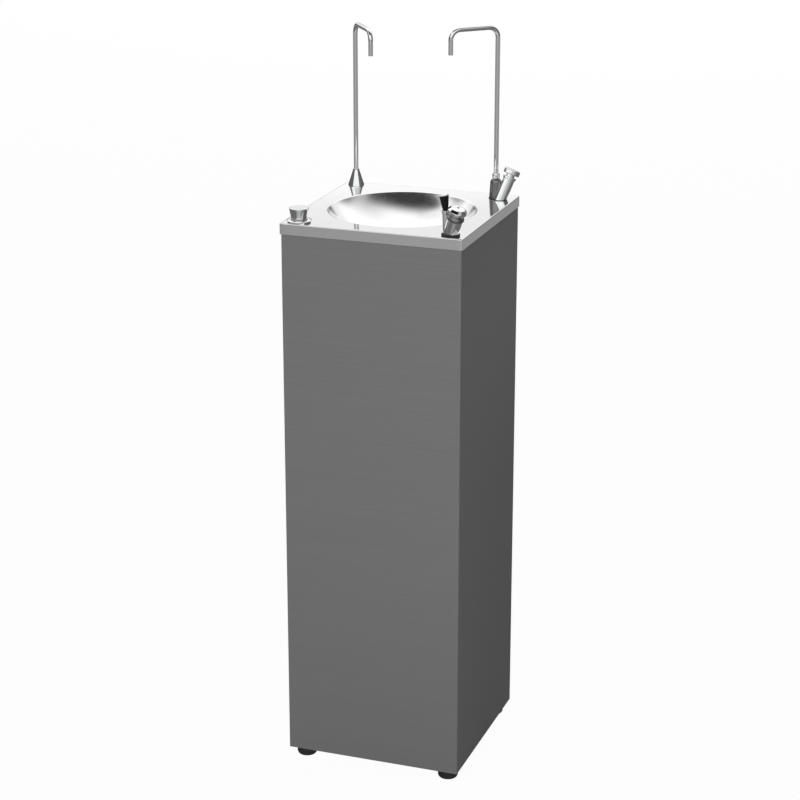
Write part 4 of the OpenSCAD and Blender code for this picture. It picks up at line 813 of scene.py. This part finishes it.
# %% Bubbler collar, button and jet
BAND_TOP = 37
BUTTON = 41.4
BUTTON_RADIUS = 15.6
BUTTON_CORE = 9.54
BUTTON_HOLE = 1.9
JET = 2.5
JET_BORE = 1.2
band = lathed("bubbler_band", [(PILLAR_BORE, PILLAR), (13, PILLAR), (14.3, 30.4, 0.5), (14.3, 34, 0.6),
                               (12.7, 35.6, 0.5), (12.1, BAND_TOP, 0.3), (PILLAR_BORE, BAND_TOP)],
              closed=True)
band.transform(pillar_axis)
piece("bubbler_band", band, "cabinet", "chrome_plate", "bubbler_collar")
# The collar takes the darker satin, which paints shade on it.
band.materials[0] = satin_painted_shade
press = lathed("bubbler_push", [(0, 14), (BUTTON_STEM, 14), (BUTTON_STEM, 33), (BUTTON_CORE, 33),
                                (BUTTON_CORE, BUTTON), (14.8, BUTTON, 0.4),
                                (BUTTON_RADIUS, BUTTON + 0.8, 0.4), (BUTTON_RADIUS, BUTTON + 4.2, 0.7),
                                (15.3, BUTTON + 5.0, 0.4), (10.8, BUTTON + 8.6, 0.7),
                                (6.6, BUTTON + 9.7, 2), (BUTTON_HOLE, BUTTON + 10, 0.2),
                                (BUTTON_HOLE, BUTTON + 4.5), (0, BUTTON + 4.5)])
press.transform(pillar_axis)
piece("bubbler_push", press, "bubbler_push", "chrome_plate", "bubbler_button")
jet = lathed("bubbler_jet", [(JET_BORE, RISER - 7), (JET, RISER - 7), (JET, RISER + 8, 0.3),
                             (JET_BORE, RISER + 8, 0.2)], turns=48, closed=True)
jet.transform(riser_axis)
piece("bubbler_jet", jet, "cabinet", "chrome_plate", "bubbler_nozzle")

# %% [markdown]
# The guard is a chromed half cone on a ring, and its back has a black cover inside a rolled rim, which
# paints the dark reflection that the chrome shows there. Half of a turned cone would do for the cone alone.
# Cone and cover share one function with an offset instead, so that the cover lies close all over. The rim
# follows a path, so the tube tree sweeps it.

# %% Guard helpers
HOOD = 24.5
HOOD_START = 4.6
HOOD_RIM = 9.0
HOOD_WALL = 1.2
WALL_ROUNDING = 0.3
HOOD_STEPS = 40
HOOD_ROWS = 13
RIM_WIRE = 1.0
RIM_BEND = 0.3


def guard_point(angle, rise, offset):
    """A point of the guard's outside at an angle and a share of its height, moved outwards by an offset."""
    radius = HOOD_START * (1 - rise) + HOOD_RIM * rise + offset
    return Vector((radius * math.cos(angle), radius * math.sin(angle), HOOD * rise)) * MM


def half_cone(name, offset, wall, margin):
    """The guard's outside, moved by an offset and given a wall, that stops a margin short of its ends."""
    verts, faces = [], []
    edge = margin / HOOD_RIM
    for k in range(HOOD_ROWS):
        rise = k / (HOOD_ROWS - 1) * (1 - margin / HOOD)
        for i in range(HOOD_STEPS + 1):
            angle = math.pi / 2 + edge + (math.pi - 2 * edge) * i / HOOD_STEPS
            verts.append(guard_point(angle, rise, offset))
    for k in range(HOOD_ROWS - 1):
        for i in range(HOOD_STEPS):
            at = k * (HOOD_STEPS + 1) + i
            faces.append((at, at + 1, at + HOOD_STEPS + 2, at + HOOD_STEPS + 1))
    mesh = bpy.data.meshes.new(name)
    mesh.from_pydata(verts, [], faces)
    mesh.shade_smooth()
    mesh = baked(name, mesh, SOLIDIFY={"thickness": wall * MM, "offset": -1},
                 BEVEL={"width": wall * WALL_ROUNDING * MM, "segments": 3, "limit_method": "ANGLE"})
    return shaded(mesh)


def rolled_rim(name):
    """A wire along both ends and the top of the guard."""
    route = [guard_point(math.pi / 2, 0, -HOOD_WALL / 2)]
    for i in range(HOOD_STEPS + 1):
        route.append(guard_point(math.pi / 2 + math.pi * i / HOOD_STEPS, 1, -HOOD_WALL / 2))
    route.append(guard_point(1.5 * math.pi, 0, -HOOD_WALL / 2))
    wire = grown(name, drawn_line(name, route), tube_tree, Bend=RIM_BEND * MM, Radius=RIM_WIRE * MM,
                 Finish=finishes["chrome_plate"])
    return shaded(wire)


print("the guard is", HOOD, "mm high and", 2 * HOOD_RIM, "mm wide")

# %% Mouth guard
HOOD_LEAN = math.radians(13)
HOOD_RING = 3.0
HOOD_RING_RADIUS = 6.6
HOOD_SINK = 0.8
REFLECTION_COVER = 0.25
REFLECTION_COVER_MARGIN = 1.0
guard_axis = riser_axis @ Matrix.Translation((0, 0, (RISER + HOOD_RING - HOOD_SINK) * MM))
guard_axis = guard_axis @ Matrix.Rotation(HOOD_LEAN - RISER_LEAN, 4, "Y")
ring_top = RISER + HOOD_RING
grip = lathed("guard_ring", [(RISER_BORE, RISER), (HOOD_RING_RADIUS, RISER, 0.3),
                             (HOOD_RING_RADIUS, ring_top, 0.5), (RISER_BORE, ring_top)],
              turns=64, closed=True)
grip.transform(riser_axis)
shell = joined("guard_shell", [half_cone("guard_cone", 0, HOOD_WALL, 0), rolled_rim("guard_rim")])
shell.transform(guard_axis)
piece("mouth_guard", joined("mouth_guard", [shell, grip]), "cabinet", "chrome_plate", "bubbler_hood")
# The black cover paints the dark reflection on the guard's back.
dark_reflection_cover = half_cone("guard_cover", REFLECTION_COVER, REFLECTION_COVER, REFLECTION_COVER_MARGIN)
dark_reflection_cover.transform(guard_axis)
piece("guard_cover", dark_reflection_cover, "cabinet", "black_enamel")

# %% [markdown]
# ## Return springs
# Each push fitting is returned by a coil spring that is hidden in its body. A Screw modifier could make
# one coil. A spiral swept with a wire takes turns and height as inputs, so one tree makes all three.

# %% Spring tree
SPIRAL_STEPS = 28
WIRE_SIDES = 10
coil_tree, coil_in, coil_out = new_tree("coil_spring", ("Turns", "Float"), ("Radius", "Float"),
                                        ("Height", "Float"), ("Wire", "Float"), ("Finish", "Material"))
spiral = coil_tree.nodes.new("GeometryNodeCurveSpiral")
spiral.inputs["Resolution"].default_value = SPIRAL_STEPS
wire = coil_tree.nodes.new("GeometryNodeCurvePrimitiveCircle")
wire.inputs["Resolution"].default_value = WIRE_SIDES
sweep = coil_tree.nodes.new("GeometryNodeCurveToMesh")
sweep.inputs["Fill Caps"].default_value = True
join = coil_tree.links.new
join(coil_in["Turns"], spiral.inputs["Rotations"])
join(coil_in["Radius"], spiral.inputs["Start Radius"])
join(coil_in["Radius"], spiral.inputs["End Radius"])
join(coil_in["Height"], spiral.inputs["Height"])
join(coil_in["Wire"], wire.inputs["Radius"])
join(spiral.outputs["Curve"], sweep.inputs["Curve"])
join(wire.outputs["Curve"], sweep.inputs["Profile Curve"])
finish_tree(coil_tree, coil_in, coil_out, sweep.outputs["Mesh"])

# %% Return springs
COIL_SMOOTH = 60


def spring(name, node, axis, low, high, radius, wire_radius, turns):
    """A coil between two places on an axis."""
    seed = bpy.data.meshes.new(name)
    mesh = grown(name, seed, coil_tree, Turns=turns, Radius=radius * MM, Wire=wire_radius * MM,
                 Height=(high - low - 2 * wire_radius) * MM, Finish=finishes["zinc_steel"])
    mesh.transform(axis @ Matrix.Translation((0, 0, (low + wire_radius) * MM)))
    shaded(mesh, COIL_SMOOTH)
    coil = piece(name, mesh, "cabinet", "zinc_steel", node)
    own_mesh(coil)


knob_axis = Matrix.Translation((knob_x, knob_y, deck))
spring("knob_coil", "push_knob_spring", knob_axis, low=0.7, high=16.4,
       radius=5.6, wire_radius=0.7, turns=5.0)
spring("tap_coil", "tap_spring", barrel_axis, low=20.1, high=37.4,
       radius=5.0, wire_radius=0.7, turns=6.0)
spring("bubbler_coil", "bubbler_spring", pillar_axis, low=20.1, high=32.9,
       radius=6.4, wire_radius=0.8, turns=4.0)

# %% [markdown]
# ## Strainer
# The waste in the bowl is covered by a thin domed plate with rings of holes. The holes follow a rule, so
# a tree sets punches on two circles and in the middle and cuts them from a turned plate. The cut uses
# the exact solver, because the quick one leaves nothing of the plate.

# %% Strainer tree
PUNCH_SIDES = 24
PUNCH_DEPTH = 20 * MM
RING_HOLES = 6
punch_tree, punch_in, punch_out = new_tree("punched_plate", ("Pitch", "Float"), ("Hole", "Float"),
                                           ("Finish", "Material"))
join = punch_tree.links.new
punch = punch_tree.nodes.new("GeometryNodeMeshCylinder")
punch.inputs["Vertices"].default_value = PUNCH_SIDES
punch.inputs["Depth"].default_value = PUNCH_DEPTH
join(punch_in["Hole"], punch.inputs["Radius"])
gather = punch_tree.nodes.new("GeometryNodeJoinGeometry")
for ring_number in (1, 2):
    reach = punch_tree.nodes.new("ShaderNodeMath")
    reach.operation = "MULTIPLY"
    reach.inputs[1].default_value = ring_number
    circle = punch_tree.nodes.new("GeometryNodeMeshCircle")
    circle.inputs["Vertices"].default_value = RING_HOLES * ring_number
    join(punch_in["Pitch"], reach.inputs[0])
    join(reach.outputs[0], circle.inputs["Radius"])
    join(circle.outputs["Mesh"], gather.inputs["Geometry"])
middle = punch_tree.nodes.new("GeometryNodeMeshLine")
middle.inputs["Count"].default_value = 1
join(middle.outputs["Mesh"], gather.inputs["Geometry"])
copies = punch_tree.nodes.new("GeometryNodeInstanceOnPoints")
tools = punch_tree.nodes.new("GeometryNodeRealizeInstances")
carve = punch_tree.nodes.new("GeometryNodeMeshBoolean")
carve.operation = "DIFFERENCE"
carve.solver = "EXACT"
join(gather.outputs["Geometry"], copies.inputs["Points"])
join(punch.outputs["Mesh"], copies.inputs["Instance"])
join(copies.outputs["Instances"], tools.inputs["Geometry"])
join(punch_in["Geometry"], carve.inputs["Mesh 1"])
join(tools.outputs["Geometry"], carve.inputs["Mesh 2"])
finish_tree(punch_tree, punch_in, punch_out, carve.outputs["Mesh"])

# %% Strainer
plate_low, plate_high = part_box("basin_strainer")
PLATE_EDGE = 4
PLATE_SMOOTH = 30
HOLE_PITCH = 6.2 * MM
HOLE_RADIUS = 2.2 * MM
plate_radius = plate_high.x / MM
plate_rise = (plate_high.z - plate_low.z) / MM
blank = lathed("strainer_blank", [(0, 0.3), (plate_radius - PLATE_EDGE, 0), (plate_radius, 0),
                                  (plate_radius, 0.9, 0.3),
                                  (plate_radius - PLATE_EDGE, plate_rise - 0.3, 3), (0, plate_rise)],
               turns=72)
plate = grown("bowl_strainer", blank, punch_tree, Pitch=HOLE_PITCH, Hole=HOLE_RADIUS,
              Finish=finishes["chrome_plate"])
plate.transform(Matrix.Translation((0, 0, plate_low.z)))
plate.shade_smooth()
plate.set_sharp_from_angle(angle=math.radians(PLATE_SMOOTH))
piece("bowl_strainer", plate, "cabinet", "chrome_plate", "basin_strainer")

# %% [markdown]
# ## Levelling feet
# The cabinet stands on four nylon feet. Each has a round pad with finger ribs, a hexagon for a spanner
# and a plain stud that is hidden in the cabinet. The ribs could be cut into the pad one by one. Here the
# pad is turned and a tree sets the ribs round it, so their count is a single number.

# %% Rib tree
rib_tree, rib_in, rib_out = new_tree("finger_ribs", ("Count", "Int"), ("Radius", "Float"),
                                     ("Finish", "Material"))
join = rib_tree.links.new
hoop = rib_tree.nodes.new("GeometryNodeCurvePrimitiveCircle")
marks = rib_tree.nodes.new("GeometryNodeCurveToPoints")
copies = rib_tree.nodes.new("GeometryNodeInstanceOnPoints")
join(rib_in["Radius"], hoop.inputs["Radius"])
join(rib_in["Count"], marks.inputs["Count"])
join(hoop.outputs["Curve"], marks.inputs["Curve"])
join(marks.outputs["Points"], copies.inputs["Points"])
join(rib_in["Geometry"], copies.inputs["Instance"])
finish_tree(rib_tree, rib_in, rib_out, copies.outputs["Instances"])

# %% Levelling feet
PAD_HEIGHT = 14.0
HEX_RADIUS = 9.0
HEX_EDGE = 0.5
STUD_RADIUS = 4.0
RIB = 0.8
RIB_COUNT = 40
FOOT_HEIGHT = shell_low.z / MM


def foot_mesh(node):
    """Pad, ribs, hexagon and stud of one foot, where the CAD foot is."""
    low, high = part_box(node)
    rim = (high.x - low.x) / 2 / MM - RIB
    top = high.z / MM
    hex_top = FOOT_HEIGHT - 0.3
    pad = lathed("pad", [(0, 0), (rim - 1.8, 0, 0.6), (rim, 2, 0.8), (rim, PAD_HEIGHT - 2.5, 0.8),
                         (rim - 2.2, PAD_HEIGHT, 0.8), (0, PAD_HEIGHT)], turns=72)
    rib = lathed("rib", [(0, 3.2), (RIB, 3.8, 0.4), (RIB, PAD_HEIGHT - 4.2, 0.4), (0, PAD_HEIGHT - 3.4)],
                 turns=10)
    ribs = grown("ribs", rib, rib_tree, Count=RIB_COUNT, Radius=rim * MM, Finish=finishes["black_plastic"])
    hexagon = lathed("hexagon", [(0, PAD_HEIGHT), (HEX_RADIUS - HEX_EDGE, PAD_HEIGHT),
                                 (HEX_RADIUS, PAD_HEIGHT + 0.6), (HEX_RADIUS, hex_top - 0.6),
                                 (HEX_RADIUS - HEX_EDGE, hex_top), (0, hex_top)], turns=6)
    stud = lathed("stud", [(0, PAD_HEIGHT), (STUD_RADIUS, PAD_HEIGHT), (STUD_RADIUS, top - 1, 0.4),
                           (STUD_RADIUS - 1, top, 0.2), (0, top)], turns=40)
    whole = joined("foot", [pad, ribs, hexagon, stud])
    whole.transform(Matrix.Translation(((low.x + high.x) / 2, (low.y + high.y) / 2, 0)))
    return whole


for node, body in (("foot_front_left", "foot_fl"), ("foot_front_right", "foot_fr"),
                   ("foot_rear_left", "foot_rl"), ("foot_rear_right", "foot_rr")):
    piece(node + "_pad", foot_mesh(node), body, "black_plastic", node)

# %% [markdown]
# ## Rear panel screws
# Ten pan-head screws hold the rear panel. They could be placed one by one, but a tree cuts the cross into
# one turned head and copies it to a grid of points, so all ten stay alike.

# %% Screw tree
SCREW_RISE = 2.4
CROSS_WIDTH = 0.75 * MM
screw_tree, screw_in, screw_out = new_tree("cross_screws", ("Head", "Object"), ("Cross", "Float"),
                                           ("Finish", "Material"))
join = screw_tree.links.new
head_info = screw_tree.nodes.new("GeometryNodeObjectInfo")
join(screw_in["Head"], head_info.inputs["Object"])
bars = screw_tree.nodes.new("GeometryNodeJoinGeometry")
for turned in (0, 1):
    size = screw_tree.nodes.new("ShaderNodeCombineXYZ")
    size.inputs["X"].default_value = CROSS_WIDTH
    size.inputs["Y"].default_value = CROSS_WIDTH
    size.inputs["Z"].default_value = SCREW_RISE * MM
    join(screw_in["Cross"], size.inputs["XY"[turned]])
    bar = screw_tree.nodes.new("GeometryNodeMeshCube")
    join(size.outputs["Vector"], bar.inputs["Size"])
    lift = screw_tree.nodes.new("GeometryNodeTransform")
    lift.inputs["Translation"].default_value = (0, 0, SCREW_RISE * MM)
    join(bar.outputs["Mesh"], lift.inputs["Geometry"])
    join(lift.outputs["Geometry"], bars.inputs["Geometry"])
carve = screw_tree.nodes.new("GeometryNodeMeshBoolean")
carve.operation = "DIFFERENCE"
join(head_info.outputs["Geometry"], carve.inputs["Mesh 1"])
join(bars.outputs["Geometry"], carve.inputs["Mesh 2"])
copies = screw_tree.nodes.new("GeometryNodeInstanceOnPoints")
join(screw_in["Geometry"], copies.inputs["Points"])
join(carve.outputs["Mesh"], copies.inputs["Instance"])
finish_tree(screw_tree, screw_in, screw_out, copies.outputs["Instances"])

# %% Rear panel screws
SCREW_HEAD = 3.8
SCREW_SHANK = 1.9
SCREW_LENGTH = 8
SCREW_ROWS = 5
SCREW_SMOOTH = 30
CROSS_LENGTH = 3.6 * MM
screw_low, screw_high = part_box("rear_panel_screws")
head_mesh = lathed("screw_head", [(0, -SCREW_LENGTH), (1.5, -SCREW_LENGTH), (SCREW_SHANK, -7.4),
                                  (SCREW_SHANK, 0), (SCREW_HEAD, 0), (SCREW_HEAD, 0.5, 0.3),
                                  (2.7, 2.2, 1.2), (0, SCREW_RISE)], turns=32)
head = bpy.data.objects.new("screw_head", head_mesh)
scene.collection.objects.link(head)
first = screw_low.z + SCREW_HEAD * MM
last = screw_high.z - SCREW_HEAD * MM
side_x = screw_high.x - SCREW_HEAD * MM
grid = []
for row in range(SCREW_ROWS):
    height = first + (last - first) * row / (SCREW_ROWS - 1)
    grid += [(-side_x, -height, 0), (side_x, -height, 0)]
points = bpy.data.meshes.new("screw_points")
points.from_pydata(grid, [], [])
screws = grown("panel_screws", points, screw_tree, Head=head, Cross=CROSS_LENGTH,
               Finish=finishes["zinc_steel"])
panel_face = Matrix.Translation((0, screw_high.y - SCREW_RISE * MM, 0))
screws.transform(panel_face @ Matrix.Rotation(-math.pi / 2, 4, "X"))
screws.shade_smooth()
screws.set_sharp_from_angle(angle=math.radians(SCREW_SMOOTH))
bpy.data.objects.remove(head)
piece("panel_screws", screws, "cabinet", "zinc_steel", "rear_panel_screws")

# %% [markdown]
# ## Light and floor
# The picture has a pure white ground. Bright lamps on white paper would flood the object with light, so
# floor and world show white only to camera and mirror rays, and light everything else as plain grey.

# %% World


def ray_switch(tree):
    """A value that is 1 for camera, glossy and transmission rays."""
    rays = tree.nodes.new("ShaderNodeLightPath")
    total = rays.outputs["Is Camera Ray"]
    for kind in ("Is Glossy Ray", "Is Transmission Ray"):
        larger = tree.nodes.new("ShaderNodeMath")
        larger.operation = "MAXIMUM"
        tree.links.new(total, larger.inputs[0])
        tree.links.new(rays.outputs[kind], larger.inputs[1])
        total = larger.outputs[0]
    return total


WORLD_LIGHT = 0.30
world = bpy.data.worlds.new("white_studio")
scene.world = world
world.use_nodes = True
tree = world.node_tree
tree.nodes.clear()
plain = tree.nodes.new("ShaderNodeBackground")
plain.inputs["Strength"].default_value = WORLD_LIGHT
white = tree.nodes.new("ShaderNodeBackground")
for background in (plain, white):
    background.inputs["Color"].default_value = (1, 1, 1, 1)
mix = tree.nodes.new("ShaderNodeMixShader")
out = tree.nodes.new("ShaderNodeOutputWorld")
tree.links.new(ray_switch(tree), mix.inputs["Fac"])
tree.links.new(plain.outputs[0], mix.inputs[1])
tree.links.new(white.outputs[0], mix.inputs[2])
tree.links.new(mix.outputs[0], out.inputs["Surface"])
print("the world lights the object at a strength of", WORLD_LIGHT)

# %% Floor
FLOOR = 14.0
PAPER = (0.8, 0.8, 0.8, 1)
PAPER_GLOW = 0.97
floor_mesh = bpy.data.meshes.new("studio_floor")
floor_corners = [(-FLOOR, -FLOOR, 0), (FLOOR, -FLOOR, 0), (FLOOR, FLOOR, 0), (-FLOOR, FLOOR, 0)]
floor_mesh.from_pydata(floor_corners, [], [(0, 1, 2, 3)])
floor = bpy.data.objects.new("studio_floor", floor_mesh)
scene.collection.objects.link(floor)
paper = bpy.data.materials.new("white_paper")
paper.use_nodes = True
tree = paper.node_tree
tree.nodes.clear()
matte = tree.nodes.new("ShaderNodeBsdfDiffuse")
matte.inputs["Color"].default_value = PAPER
glow = tree.nodes.new("ShaderNodeEmission")
share = tree.nodes.new("ShaderNodeMath")
share.operation = "MULTIPLY"
share.inputs[1].default_value = PAPER_GLOW
mix = tree.nodes.new("ShaderNodeMixShader")
out = tree.nodes.new("ShaderNodeOutputMaterial")
tree.links.new(ray_switch(tree), share.inputs[0])
tree.links.new(share.outputs[0], mix.inputs["Fac"])
tree.links.new(matte.outputs[0], mix.inputs[1])
tree.links.new(glow.outputs[0], mix.inputs[2])
tree.links.new(mix.outputs[0], out.inputs["Surface"])
floor_mesh.materials.append(paper)
print("the floor is", 2 * FLOOR, "m wide")

# %% [markdown]
# A mirror on white is invisible, so the studio has a tent that only reflections see, and the floor is
# hidden from them. Cards and flags set up as planes would show their edges in the bowl. The tent is one
# sphere whose tone changes smoothly with direction instead: a grey ground that is brighter towards the
# camera, a dark band at the horizon, dark sides with a pale strip at the left, bright sky, and a dark hood
# overhead that gives the bowl its shade.

# %% Reflection tent
TENT_RADIUS = 10.0
TENT_CENTRE = Vector((0, 0, 0.95))
tent_mesh = bpy.data.meshes.new("reflection_tent")
work = bmesh.new()
bmesh.ops.create_uvsphere(work, u_segments=64, v_segments=32, radius=TENT_RADIUS)
work.to_mesh(tent_mesh)
work.free()
tent = bpy.data.objects.new("reflection_tent", tent_mesh)
tent.location = TENT_CENTRE
scene.collection.objects.link(tent)
tent.visible_camera = False
tent.visible_diffuse = False
tent.visible_shadow = False
tent.visible_transmission = False
floor.visible_glossy = False
print("tent of radius", TENT_RADIUS, "m")

# %% Tent directions
FRONT_BAND = (0.55, 1.05)
camera_turn = math.atan2(CAMERA_PLACE.y, CAMERA_PLACE.x)
canvas = bpy.data.materials.new("tent_canvas")
canvas.use_nodes = True
canvas.cycles.emission_sampling = "NONE"
tent_tree = canvas.node_tree
tent_tree.nodes.clear()
place = tent_tree.nodes.new("ShaderNodeTexCoord")
facing = tent_tree.nodes.new("ShaderNodeMapping")
facing.inputs["Rotation"].default_value[2] = -camera_turn
facing.inputs["Scale"].default_value = [1 / TENT_RADIUS] * 3
axes = tent_tree.nodes.new("ShaderNodeSeparateXYZ")
tent_tree.links.new(place.outputs["Object"], facing.inputs["Vector"])
tent_tree.links.new(facing.outputs["Vector"], axes.inputs["Vector"])
toward, across, up = axes.outputs["X"], axes.outputs["Y"], axes.outputs["Z"]


def slope(value, band, low=0.0, high=1.0):
    """A smooth change from low to high while a value passes a band, given by its start and end."""
    node = tent_tree.nodes.new("ShaderNodeMapRange")
    node.interpolation_type = "SMOOTHSTEP"
    numbers = {"From Min": band[0], "From Max": band[1], "To Min": low, "To Max": high}
    for label, number in numbers.items():
        node.inputs[label].default_value = number
    tent_tree.links.new(value, node.inputs["Value"])
    return node.outputs["Result"]


def plugged(socket, value):
    """Links a socket to another one or sets it to a number."""
    if isinstance(value, float):
        socket.default_value = value
    else:
        tent_tree.links.new(value, socket)


def worked(operation, *values):
    """The sum or product of several sockets and numbers."""
    total = values[0]
    for value in values[1:]:
        node = tent_tree.nodes.new("ShaderNodeMath")
        node.operation = operation
        plugged(node.inputs[0], total)
        plugged(node.inputs[1], value)
        total = node.outputs[0]
    return total


def between(share, low, high):
    """Low where the share is 0 and high where it is 1."""
    node = tent_tree.nodes.new("ShaderNodeMix")
    for label, value in (("Factor", share), ("A", low), ("B", high)):
        plugged(node.inputs[label], value)
    return node.outputs["Result"]


across_square = worked("MULTIPLY", across, across)
front = slope(toward, FRONT_BAND)
print("the tent faces the camera at", round(math.degrees(camera_turn), 1), "degrees")

# %% Tent tones
GROUND_BAND = (-0.25, -0.33)
GROUND_FAR = 0.30
GROUND_NEAR = 0.15
GLOW_FAR = 0.12
GLOW_NEAR = 0.65
HORIZON_START = (-0.12, -0.05)
GLOW_HORIZON = 0.45
REAR_BAND = (0.0, 0.5)
REAR_FLAG = 0.08
FRONT_DARK = 0.15
SKY_START = (0.18, 0.22)
SKY_REAR_BAND = (0.230, 0.240)
SKY_BAND = (0.30, 0.45)
SKY_REAR = 1.14
SKY_LOW = 0.90
SKY_HIGH = 1.15
front_glow = worked("MULTIPLY", front, slope(up, GROUND_BAND, GLOW_FAR, GLOW_NEAR))
ground = worked("ADD", front_glow, slope(up, GROUND_BAND, GROUND_FAR, GROUND_NEAR))
horizon = worked("ADD", worked("MULTIPLY", front, GLOW_HORIZON),
                 slope(toward, REAR_BAND, REAR_FLAG, FRONT_DARK))
sky = worked("ADD", slope(up, SKY_REAR_BAND, SKY_REAR - SKY_LOW, 0.0),
             slope(up, SKY_BAND, SKY_LOW, SKY_HIGH))
tone = between(slope(up, HORIZON_START), ground, horizon)
tone = between(slope(up, SKY_START), tone, sky)
print("the sky's tone runs from", SKY_LOW, "to", SKY_HIGH)

# %% Tent hood, flags and strip
HOOD_TONE = 0.012
HOOD_RISE = math.radians(52)
HOOD_SPREAD = 0.72
HOOD_TILT = -0.14
HOOD_BAND = (0.74, 0.90)
HOOD_FOOT = (0.73, 0.81)
SHADE_DEPTH = 0.55
SHADE_SIDE = (0.10, 0.70)
SHADE_FOOT = (0.36, 0.56)
SHADE_REAR = (-0.55, 0.0)
FLAG_TONE = 0.12
FLAG_SIDE = (0.42, 0.60)
FLAG_TOP = (0.60, 0.72)
FLAG_FOOT = (-0.12, -0.04)
STRIP_TONE = 1.1
STRIP_SIDE = (-0.50, -0.70)
STRIP_FOOT = (0.335, 0.36)
STRIP_TOP = (0.42, 0.46)
over = worked("ADD", worked("MULTIPLY", toward, math.cos(HOOD_RISE)),
              worked("MULTIPLY", up, math.sin(HOOD_RISE)),
              worked("MULTIPLY", across_square, HOOD_SPREAD), worked("MULTIPLY", across, HOOD_TILT))
hood = worked("MULTIPLY", slope(over, HOOD_BAND), slope(up, HOOD_FOOT))
shade = worked("MULTIPLY", slope(across, SHADE_SIDE, 0.0, SHADE_DEPTH), slope(up, SHADE_FOOT),
               slope(toward, SHADE_REAR))
flags = worked("MULTIPLY", slope(across_square, FLAG_SIDE), slope(up, FLAG_TOP, 1.0, 0.0),
               slope(up, FLAG_FOOT))
strip = worked("MULTIPLY", slope(across, STRIP_SIDE), slope(up, STRIP_FOOT),
               slope(up, STRIP_TOP, 1.0, 0.0))
for share, share_tone in ((shade, HOOD_TONE), (hood, HOOD_TONE), (flags, FLAG_TONE), (strip, STRIP_TONE)):
    tone = between(share, tone, share_tone)
light = tent_tree.nodes.new("ShaderNodeEmission")
out = tent_tree.nodes.new("ShaderNodeOutputMaterial")
tent_tree.links.new(tone, light.inputs["Color"])
tent_tree.links.new(light.outputs[0], out.inputs["Surface"])
tent_mesh.materials.append(canvas)
print("the tent's material has", len(tent_tree.nodes), "nodes")

# %% [markdown]
# The tent lights nothing but mirrors, so the matte sheet needs lamps. Point lamps would leave hard spots.
# Three large soft boxes light it evenly: one in front, a weak one at the right and one far behind for the
# rear. Reflections don't show them, because the tent already sets what a mirror sees.

# %% Lamps


def softbox(name, place, target, size, power):
    """A square soft light that reflections don't show."""
    lamp = bpy.data.lights.new(name, "AREA")
    lamp.size = size
    lamp.energy = power
    box = bpy.data.objects.new(name, lamp)
    box.location = place
    box.rotation_euler = (Vector(target) - Vector(place)).to_track_quat("-Z", "Y").to_euler()
    box.visible_glossy = False
    box.visible_camera = False
    scene.collection.objects.link(box)
    print(name, "gives", power, "W")


softbox("front_box", place=(0.9, -5.0, 0.8), target=(0, 0, 0.3), size=2.4, power=184)
softbox("right_box", place=(5.0, -0.6, 0.7), target=(0, 0, 0.4), size=2.2, power=9)
softbox("rear_box", place=(-2.4, 10.0, 2.4), target=(0, 0, 0.5), size=5.0, power=500)
